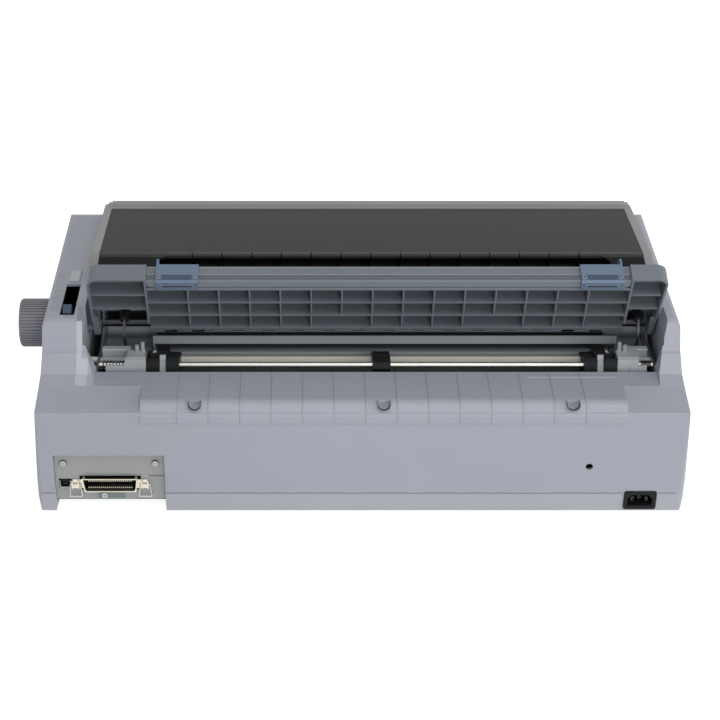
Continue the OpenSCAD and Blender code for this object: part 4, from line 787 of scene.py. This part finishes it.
@dataclass
class RearSockets:
    """Contacts and fixings in the sockets on the rear wall, with a painted shade over the long
    socket's opening and a painted shadow under the plate's step.

    Attributes:
        contacts: Contacts in each row of the long socket.
        contact_pitch: Distance between them, in millimetres.
        contact_rows: Heights of the rows over the insert's foot, in millimetres.
        contact_in: Depth of the contacts under the insert's face, in millimetres.
        hood_in: Depth of the hood under the shell's face, in millimetres.
        blades: X and Z of the inlet's blades from its centre, in millimetres.
        blade_in: Depth of the blades under the inlet's face, in millimetres.
        pins: X and Z of the small port's contacts from its centre, in millimetres.
        pin_in: Depth of these contacts under the port's face, in millimetres.
        port_frame: Names, heights and X limits of the small port's frame bars.
    """

    contacts: int = 22
    contact_pitch: float = 1.98
    contact_rows: Point = (2.7, 10.4)
    contact_in: float = 0.9
    hood_in: float = 4.3
    blades: tuple[Point, ...] = ((-7, -1.0), (0, 2.0), (7, -1.0))
    blade_in: float = 10.1
    pins: tuple[Point, ...] = ((-1.4, -1.75), (-1.4, 1.75), (1.4, -1.75), (1.4, 1.75))
    pin_in: float = 4.5
    port_frame: tuple[tuple[str, Point, tuple[Point, ...]], ...] = (
        ("port_sill", (25.1, 27.3), ((270.2, 281.8),)),
        ("port_jambs", (27.4, 34.4), ((270.2, 271.5), (280.5, 281.8))),
    )

    def build(self) -> None:
        """Makes the contact rows, the port's frame and the inlet's blades."""
        low, high = corners("parallel_insert")
        centre = (low.x + high.x) / 2
        half = self.contact_pitch * (self.contacts - 1) / 2
        Row(
            "socket_contacts", "root", "shell_metal", Finish.SHELL, bar(0.8, 4.4, 1.4), bar_shape
        ).build(
            Vector((centre + x * MM, high.y - self.contact_in * MM, low.z + z * MM))
            for x in steps(-half, half, self.contacts) for z in self.contact_rows
        )
        shell = corners("parallel_shell")[1]
        # A black sheet for the dark of the opening over the insert: painted shade.
        Row(
            "socket_hood", "root", "black_plastic", Finish.HOLLOW,
            bar((high.x - low.x) / MM - 3, 7.2, 0.5), bar_shape,
        ).build([Vector((centre, shell.y - self.hood_in * MM, shell.z))])
        for name, z, spans in self.port_frame:
            Prism(
                name, "root", "shell_metal", Finish.MOUNT, slab((194.6, 194.85), z), spans, 0.05
            ).build()
        # Painted shadow line under the step of the interface plate.
        Prism(
            "plate_step_shadow", "root", "plate_grey", Finish.SEAM,
            slab((194.1, 194.3), (39.3, 39.9)), ((178.8, 193.8),), 0.04,
        ).build()
        for name, socket, finish, sizes, inward, places in (
            ("inlet_blades", "power_inlet", Finish.ROD, bar(2.3, 13.2, 4.4), self.blade_in,
             self.blades),
            ("data_contacts", "usb_port", Finish.GOLD, bar(0.7, 4.0, 0.3), self.pin_in, self.pins),
        ):
            centre = middle(socket)
            back = corners(socket)[1].y - inward * MM
            Row(name, "root", "shell_metal", finish, sizes, bar_shape).build(
                Vector((centre.x + x * MM, back, centre.z + z * MM)) for x, z in places
            )


@dataclass
class CarriageDrive:
    """Teeth of the timing belt and the rod's retaining clips.

    Attributes:
        tooth_pitch: Distance between the belt's teeth, in metres.
        bare: Length of belt at each end that carries no teeth, in metres.
        tooth_in: Depth of the teeth under the belt's rear face, in metres.
        clip_in: Distance of the clips from the rod's ends, in metres.
    """

    tooth_pitch: float = 4.2 * MM
    bare: float = 20 * MM
    tooth_in: float = 1.55 * MM
    clip_in: float = 1.2 * MM

    def build(self) -> None:
        """Makes the belt's teeth and the clips."""
        low, high = corners("timing_belt")
        count = int((high.x - low.x - 2 * self.bare) / self.tooth_pitch)
        first = low.x + self.bare
        Row(
            "belt_teeth", "root", "rubber", Finish.RUBBER,
            bar(1.6, 0.7, (high.z - low.z) * 0.9 / MM), bar_shape,
        ).build(
            Vector((first + i * self.tooth_pitch, high.y - self.tooth_in, (low.z + high.z) / 2))
            for i in range(count)
        )
        low, high = corners("carriage_rod")
        rod = middle("carriage_rod")
        Row(
            "rod_clips", "root", "steel", Finish.SHEET,
            {"Radius": (high.z - low.z) / MM / 2 + 0.3, "Width": 1.6, "Thickness": 0.7},
            clip_shape, ACROSS,
        ).build(
            Vector((x, rod.y, rod.z)) for x in (low.x + self.clip_in, high.x - self.clip_in)
        )


@dataclass
class MainBoard:
    """Chips on the main board.

    Attributes:
        columns: Chips along X.
        rows: Chips along Y.
        chip: Width, depth and height of a chip, in millimetres.
        margin: Distance from the board's edges in X and Y, in millimetres.
        board: Thickness of the bare board, in millimetres.
    """

    columns: int = 9
    rows: int = 4
    chip: Triple = (17, 8, 2.6)
    margin: Point = (20, 14)
    board: float = 1.6

    def build(self) -> None:
        """Makes the chips in rows over the board."""
        low, high = corners("main_board")
        aside, behind = (m * MM for m in self.margin)
        height = low.z + (self.board + self.chip[2] / 2) * MM
        Row(
            "board_chips", "root", "black_plastic", Finish.BLACK, bar(*self.chip), bar_shape
        ).build(
            Vector((x, y, height))
            for x in steps(low.x + aside, high.x - aside, self.columns)
            for y in steps(low.y + behind, high.y - behind, self.rows)
        )


@dataclass
class EdgeGuides:
    """Ribbed grips, eyelets and lips on the two sliding edge guides, with painted shade on the
    grips and in the eyelets' holes and a painted highlight along the lips.

    Attributes:
        rib_pitch: Distance between the ribs of a grip, in millimetres.
        bare: Width beside the ribs, both ends together, in millimetres.
        eyelet_in: Distance of the eyelets from the ends, in millimetres.
    """

    rib_pitch: float = 1.5
    bare: float = 11
    eyelet_in: float = 3.0

    def build(self) -> None:
        """Makes the small parts of both guides."""
        for side in ("right", "left"):
            body = f"edge_guide_{side}"
            for name, finish, sizes, shape, places in self.rows(body):
                Row(
                    f"{name}_{side}", body, "clip_blue", finish, sizes, shape, GUIDE_SLOPE
                ).build(places)

    def rows(self, guide: str) -> Iterable[tuple[str, Finish, dict, Shape, list[Vector]]]:
        """Name, finish, sizes, shape and places of each row on one guide."""
        low, high = (v.x / MM for v in corners(guide))
        width = high - low
        count = int((width - self.bare) / self.rib_pitch)
        half = self.rib_pitch * (count - 1) / 2
        middle_x = (low + high) / 2
        ribs = [middle_x + x for x in steps(-half, half, count)]
        ends = (low + self.eyelet_in, high - self.eyelet_in)
        # Real ribs, in the darkest painted-shade copy of the clip colour.
        yield (
            "grip_ribs", Finish.CLIP_DEEP_SHADE, bar(1.1, 5.4, 0.5), bar_shape,
            spots(ribs, 112.2, 214.65),
        )
        # Painted shade over the grip's lower face.
        yield (
            "grip_panel", Finish.CLIP_SHADE, bar(width - 1.2, 6.4, 0.4), bar_shape,
            spots([middle_x], 111.7, 214.62),
        )
        # Painted shade lines above and below the ribs.
        yield (
            "grip_bands", Finish.CLIP_DEEP_SHADE, bar(2 * half + 1.6, 0.8, 0.5), bar_shape,
            spots([middle_x], 109.4, 215.7) + spots([middle_x], 114.2, 206.2),
        )
        yield (
            "eyelets", Finish.MOUNT, {"Radius": 1.5, "Wire": 0.5}, ring_shape,
            spots(ends, 111.4, 214.95),
        )
        # Dark discs in the eyelets' holes: painted shade.
        yield (
            "eyelet_holes", Finish.HOLLOW, {"Radius": 1.2, "Height": 0.3}, disc_shape,
            spots(ends, 111.4, 215.0),
        )
        # Painted highlight along the guide's lower lip.
        yield (
            "grip_lip", Finish.PAINTED_HIGHLIGHT, bar(width - 6, 0.5, 0.8), bar_shape,
            spots([middle_x], 115.2, 208.1),
        )


@dataclass
class GuideTrim:
    """Painted highlights along the sheet guide's edges and on its rear face, a painted shade band,
    its slots painted dark as shade, and the ribs behind it.

    Attributes:
        highlight_lines: Y and Z of the painted highlight lines, in millimetres.
        slots: X of the slots, painted dark as shade, in millimetres.
        slot_place: Their Y and Z, in millimetres.
        slot_turn: Rotation of the slots.
        exit_middle: X of the middle exit rib, in millimetres.
        exit_place: Y and Z of the exit ribs, in millimetres.
        exit_pitch: Distance between them, in millimetres.
        exit_side: Exit ribs on each side of the middle one.
    """

    highlight_lines: tuple[Point, ...] = ((96.3, 217.2), (104.75, 213.9), (109.6, 201.15))
    slots: tuple[float, ...] = (175.5, 148.5, -219.5, -247.5)
    slot_place: Point = (87.0, 141.4)
    slot_turn: Triple = (math.radians(31.0), 0.0, 0.0)
    exit_middle: float = -24.2
    exit_place: Point = (22.6, 187.6)
    exit_pitch: float = 30.0
    exit_side: int = 7

    def build(self) -> None:
        """Makes the trim."""
        # Painted highlight lines along the sheet guide's edges.
        Row(
            "guide_edges", "sheet_guide", "guide_grey", Finish.PAINTED_HIGHLIGHT,
            bar(CELLS[1] - CELLS[0], 1.5, 0.6), bar_shape, GUIDE_SLOPE,
        ).build(place for y, z in self.highlight_lines for place in spots([sum(CELLS) / 2], y, z))
        # Painted shade on a band of the guide's sloping top.
        Prism(
            "guide_shade_band", "sheet_guide", "guide_grey", Finish.SHADE_BAND,
            ((106.2, 213.4), (106.2, 213.65), (110.9, 211.9), (110.9, 211.6)), (CELLS,), 0.02,
        ).build()
        # Painted light on the guide's rear face, which faces down.
        Prism(
            "guide_face_highlight", "sheet_guide", "guide_grey", Finish.PAINTED_HIGHLIGHT,
            ((112.0, 208.6), (112.25, 208.5), (109.6, 203.6), (109.3, 203.7)), (CELLS,), 0.02,
        ).build()
        # The guide's slots as near-black bars: painted shade.
        Row(
            "guide_slots", "sheet_guide", "guide_grey", Finish.HOLLOW,
            bar(12, 0.8, 2.4), bar_shape, self.slot_turn,
        ).build(spots(self.slots, *self.slot_place))
        turns = range(-self.exit_side, self.exit_side + 1)
        ribs = (self.exit_middle + self.exit_pitch * k for k in turns)
        Row(
            "exit_ribs", "root", "black_plastic", Finish.HOLLOW, bar(2.2, 20, 10.6), bar_shape
        ).build(spots(ribs, *self.exit_place))
        Prism(
            "exit_tongue", "root", "black_plastic", Finish.DARK,
            slab((-1, 33), (181.2, 182.4)), ((-262.0, 205.0),),
        ).build()


@dataclass
class TractorMounts:
    """Blocks and pegs at the ends of the tractor shafts, and two sheets below them that are painted
    light in the guide's shade.

    Attributes:
        caps: X limits of the sloping caps, in millimetres.
        plates: X limits of the plates before them, in millimetres.
        pegs: X and Z of the pegs, in millimetres.
        peg_y: Depth of the pegs, in millimetres.
    """

    caps: tuple[Point, ...] = ((199.3, 217.0), (-286.3, -265.0))
    plates: tuple[Point, ...] = ((215.0, 243.0), (-297.5, -272.5))
    pegs: tuple[Point, ...] = ((202.0, 137.0), (207.6, 134.0), (-268.0, 137.0), (-273.6, 134.0))
    peg_y: float = 112.0

    def build(self) -> None:
        """Makes the parts of both ends and the two sheets between them."""
        on_root = ("root", "light_grey", Finish.MOUNT)
        Prism(
            "mount_caps", *on_root,
            ((109.4, 126.4), (125.8, 131.4), (125.8, 132.2), (125.0, 132.8), (110.4, 132.8),
             (109.4, 131.8)), self.caps,
        ).build()
        Prism(
            "mount_plates", *on_root,
            ((99.6, 118.5), (106.6, 120.8), (106.6, 130.0), (105.6, 131.0), (99.6, 131.0)),
            self.plates,
        ).build()
        Row("mount_pegs", *on_root, {"Radius": 2.0, "Height": 10}, disc_shape).build(
            Vector((x * MM, self.peg_y * MM, z * MM)) for x, z in self.pegs
        )
        # Painted light: a light strip on the rear face of the paper lip, which lies in the guide's
        # shadow.
        Prism(
            "paper_lip_painted_light", *on_root, slab((85.8, 86.3), (109.3, 115.6)), (WELL,), 0.05
        ).build()
        # The apron takes the lighter mount colour to stand for light in the shade under the guide:
        # painted light.
        Prism(
            "guide_apron", *on_root,
            ((85.2, 90.0), (87.2, 88.0), (87.2, 105.0), (86.4, 110.0), (85.2, 110.0)), (WELL,),
        ).build()


@dataclass
class CoverRim:
    """Raised rim along the front of the smoked cover, lower at its ends.

    Attributes:
        foot: Corners of the outline that both heights of rim share.
        span: X limits of the high rim, in millimetres.
        ends: X limits of the low ends, in millimetres.
    """

    foot: tuple[Point, ...] = ((-104.4, 186.7), (-104.4, 185.9))
    span: Point = (-301.0, 249.5)
    ends: tuple[Point, ...] = ((-305.0, -300.5), (249.0, 253.5))

    def build(self) -> None:
        """Makes the rim and its ends."""
        on_cover = ("cover", "cover_grey", Finish.COVER)
        high = ((-109.0, 185.6), (-109.0, 189.2), (-108.3, 189.8), (-106.4, 189.8), *self.foot)
        low = ((-108.9, 185.6), (-108.9, 187.6), (-108.2, 188.3), (-106.0, 188.2), *self.foot)
        Prism("cover_rim", *on_cover, high, (self.span,)).build()
        Prism("cover_rim_ends", *on_cover, low, self.ends, 0.6).build()


@dataclass
class WellTrim:
    """Pale pad of the lever's slot, and a painted highlight on the edge beside the well.

    Attributes:
        pad: Outline of the pad, as Y and Z in millimetres.
        rim: Outline of the painted highlight on the edge, as Y and Z in millimetres.
        foot: First and last corner of the part that reaches further in.
    """

    pad: tuple[Point, ...] = ((19.0, 172.3), (19.0, 172.65), (41.2, 172.65), (41.2, 172.3))
    rim: tuple[Point, ...] = (
        (118.6, 170.35), (130.3, 150.0), (132.9, 145.5), (135.1, 144.3), (138.85, 140.55),
        (144.4, 134.75), (150.15, 128.8), (163.6, 124.5), (163.4, 124.0), (149.9, 128.3),
        (144.0, 134.3), (138.4, 140.1), (134.7, 143.8), (132.4, 145.0), (129.8, 149.7),
        (118.1, 170.1),
    )
    foot: tuple[int, int] = (4, 12)

    def build(self) -> None:
        """Makes the pad, the painted highlight on the edge and its foot."""
        for name, outline, span, edge in (
            ("slot_pad", self.pad, (270.3, 279.9), 0.06),
            # Painted highlight on the edge beside the well, and on its foot.
            ("well_rim_highlight", self.rim, (258.9, 264.6), 0.1),
            ("well_rim_highlight_foot", self.rim[slice(*self.foot)], (252.9, 259.0), 0.1),
        ):
            Prism(name, "root", "case_grey", Finish.RIM, outline, (span,), edge).build()


@dataclass
class RodSprings:
    """Coil springs round the ends of the tractor rod.

    Attributes:
        springs: Name, X of the start and length of each, in millimetres.
    """

    springs: tuple[tuple[str, float, float], ...] = (
        ("rod_springs", 219.5, 22), ("rod_spring_short", -299.0, 10),
    )

    def build(self) -> None:
        """Makes the springs."""
        rod = middle("tractor_rod")
        for name, start, length in self.springs:
            Row(
                name, "root", "steel", Finish.AXLE,
                {"Radius": 3.9, "Length": length, "Wire": 0.55}, coil_shape, ACROSS,
            ).build([Vector((start * MM, rod.y, rod.z))])


@dataclass
class CaseTrim:
    """Seam line, dimple shadows and screw rims of the case.

    Attributes:
        seam_in: How far the seam line reaches into the wall, in millimetres.
        seam_out: How far it stands out, in millimetres.
        seam_half: Half of its height, in millimetres.
        seam_spans: Its X limits, in millimetres.
        dimples: X of the dimples, in millimetres.
        screws: Places of the interface plate's screws, in millimetres.
    """

    seam_in: float = 0.6
    seam_out: float = 0.15
    seam_half: float = 0.45
    seam_spans: tuple[Point, ...] = ((-268.6, 177.4), (-321.0, -303.4), (286.2, 299.0))
    dimples: Triple = (-213.5, -33.5, 146.5)
    screws: tuple[Triple, ...] = ((276.5, 195.2, 55.0), (187.0, 195.2, 55.0))

    def build(self) -> None:
        """Makes the trim of the case."""
        seam = corners("upper_case")[0].z / MM
        wall = corners("lower_case")[1].y / MM
        outline = slab(
            (wall - self.seam_in, wall + self.seam_out),
            (seam - self.seam_half, seam + self.seam_half),
        )
        Prism(
            "seam_line", "root", "case_grey", Finish.SEAM, outline, self.seam_spans, 0.05
        ).build()
        Row(
            "dimple_shade", "root", "case_grey", Finish.SHADE,
            {"Radius": 5.95, "Length": 10.5, "Thickness": 0.3}, strip_shape,
        ).build(spots(self.dimples, 190.2, 125.0))
        Row(
            "screw_rims", "root", "steel", Finish.BLACK,
            {"Radius": 3.1, "Wire": 0.45}, ring_shape, UPRIGHT,
        ).build(Vector(place) * MM for place in self.screws)


def dress_frame(nodes: dict[str, bpy.types.Object]) -> None:
    """Gives every solid of the frame its finish.

    Args:
        nodes: The frame's objects by name.
    """
    seen: set[str] = set()
    for finish, names in LOOKS.items():
        for name in names:
            for place in nodes[name].material_slots:
                place.material = finish.made()
            if not nodes[name].material_slots:
                nodes[name].data.materials.append(finish.made())
            seen.add(name)
        log.info("%s: %s", finish.name, ", ".join(names))
    if seen != set(nodes):
        raise ValueError(f"solids without a finish: {sorted(set(nodes) - seen)}")


# --------------------------------------------------------------------- stage


@dataclass
class Studio:
    """Floor, lamps, world and camera.

    Attributes:
        tilt: Angle that the camera looks down by, in degrees.
        camera_place: Its place, in metres.
        focal_px: Its focal length, in pixels of the frame.
        frame_px: Width of the frame, in pixels.
        centre_px: Where the camera's axis meets the frame, in pixels from the left.
        floor_half: Half of the floor's width, in metres.
        world: Strength of the world's light.
        target: Place that the lamps aim at, in metres.
        lamps: Name, place, size and power of each lamp.
    """

    tilt: float = 31.0
    camera_place: Triple = (0.034, 1.627, 1.0323)
    focal_px: float = 1784.0
    frame_px: float = 720.0
    centre_px: float = 313.0
    floor_half: float = 30.0
    world: float = 0.27
    target: Triple = (0.0, 0.0, 0.1)
    lamps: tuple[tuple[str, Triple, float, float], ...] = (
        ("key", (-0.9, 3.2, 0.5), 1.6, 21.0),
        ("glint", (-0.6, 2.9, 1.35), 0.45, 6.5),
        ("fill", (-2.8, 1.2, 1.0), 1.6, 24.0),
        ("side", (2.9, 0.4, 1.1), 1.4, 5.0),
        ("top", (-0.3, 1.2, 2.7), 1.5, 22.0),
    )

    def build(self) -> None:
        """Makes everything round the printer."""
        self.floor()
        self.light()
        self.camera()

    @staticmethod
    def watched(tree: Tree) -> Wire:
        """1 for rays that the camera sees, straight, mirrored or through a clear sheet."""
        rays = ("Is Camera Ray", "Is Glossy Ray", "Is Transmission Ray")
        straight, mirrored, through = (tree.add("ShaderNodeLightPath", out=ray) for ray in rays)
        return (straight + mirrored + through).clipped()

    def floor(self) -> None:
        """Makes the pale floor, which keeps the printer's shadow."""
        half = self.floor_half
        mesh = bpy.data.meshes.new("floor")
        places = [(-half, -half, 0), (half, -half, 0), (half, half, 0), (-half, half, 0)]
        mesh.from_pydata(places, [], [(0, 1, 2, 3)])
        floor = bpy.data.objects.new("floor", mesh)
        bpy.context.scene.collection.objects.link(floor)
        mat, t = new_material("pale_floor")
        seen = self.watched(t)
        shader = t.add(
            "ShaderNodeBsdfPrincipled", {},
            {"Base Color": (0.9, 0.9, 0.9), "Roughness": 0.9, "Emission Color": (1.0, 1.0, 1.0),
             "Emission Strength": seen * 0.8},
        )
        t.add("ShaderNodeOutputMaterial", {}, {"Surface": shader})
        mesh.materials.append(mat)

    def light(self) -> None:
        """Makes the soft lamps and the plain world."""
        for name, place, size, power in self.lamps:
            lamp = bpy.data.lights.new(name, "AREA")
            lamp.shape = "SQUARE"
            lamp.size = size
            lamp.energy = power
            holder = bpy.data.objects.new(name, lamp)
            holder.location = place
            aim = Vector(self.target) - Vector(place)
            holder.rotation_euler = aim.to_track_quat("-Z", "Y").to_euler()
            bpy.context.scene.collection.objects.link(holder)
        world = bpy.data.worlds.new("studio")
        bpy.context.scene.world = world
        world.use_nodes = True
        t = Tree(world.node_tree)
        strength = self.world + self.watched(t) * (1 - self.world)
        shader = t.add("ShaderNodeBackground", {}, {"Color": (1.0, 1.0, 1.0), "Strength": strength})
        t.add("ShaderNodeOutputWorld", {}, {"Surface": shader})

    def camera(self) -> None:
        """Makes the camera behind and above the printer."""
        data = bpy.data.cameras.new("camera")
        data.sensor_width = 36.0
        data.lens = self.focal_px / self.frame_px * data.sensor_width
        data.shift_x = (self.frame_px / 2 - self.centre_px) / self.frame_px
        data.clip_start = 0.05
        camera = bpy.data.objects.new("camera", data)
        s, c = math.sin(math.radians(self.tilt)), math.cos(math.radians(self.tilt))
        turn = Matrix(((-1, 0, 0), (0, -s, c), (0, c, s))).to_4x4()
        camera.matrix_world = Matrix.Translation(self.camera_place) @ turn
        bpy.context.scene.collection.objects.link(camera)
        bpy.context.scene.camera = camera


def main() -> None:
    """Dresses the frame, adds the small parts and sets the studio."""
    logging.basicConfig(level=logging.INFO, format="%(name)s: %(message)s")
    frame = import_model()
    dress_frame(frame["nodes"])
    for group in (
        RearSockets(), CarriageDrive(), MainBoard(), EdgeGuides(), GuideTrim(), TractorMounts(),
        CoverRim(), WellTrim(), RodSprings(), CaseTrim(), Studio(),
    ):
        group.build()
    bpy.context.scene.view_settings.view_transform = "Standard"


if __name__ == "__main__":
    main()
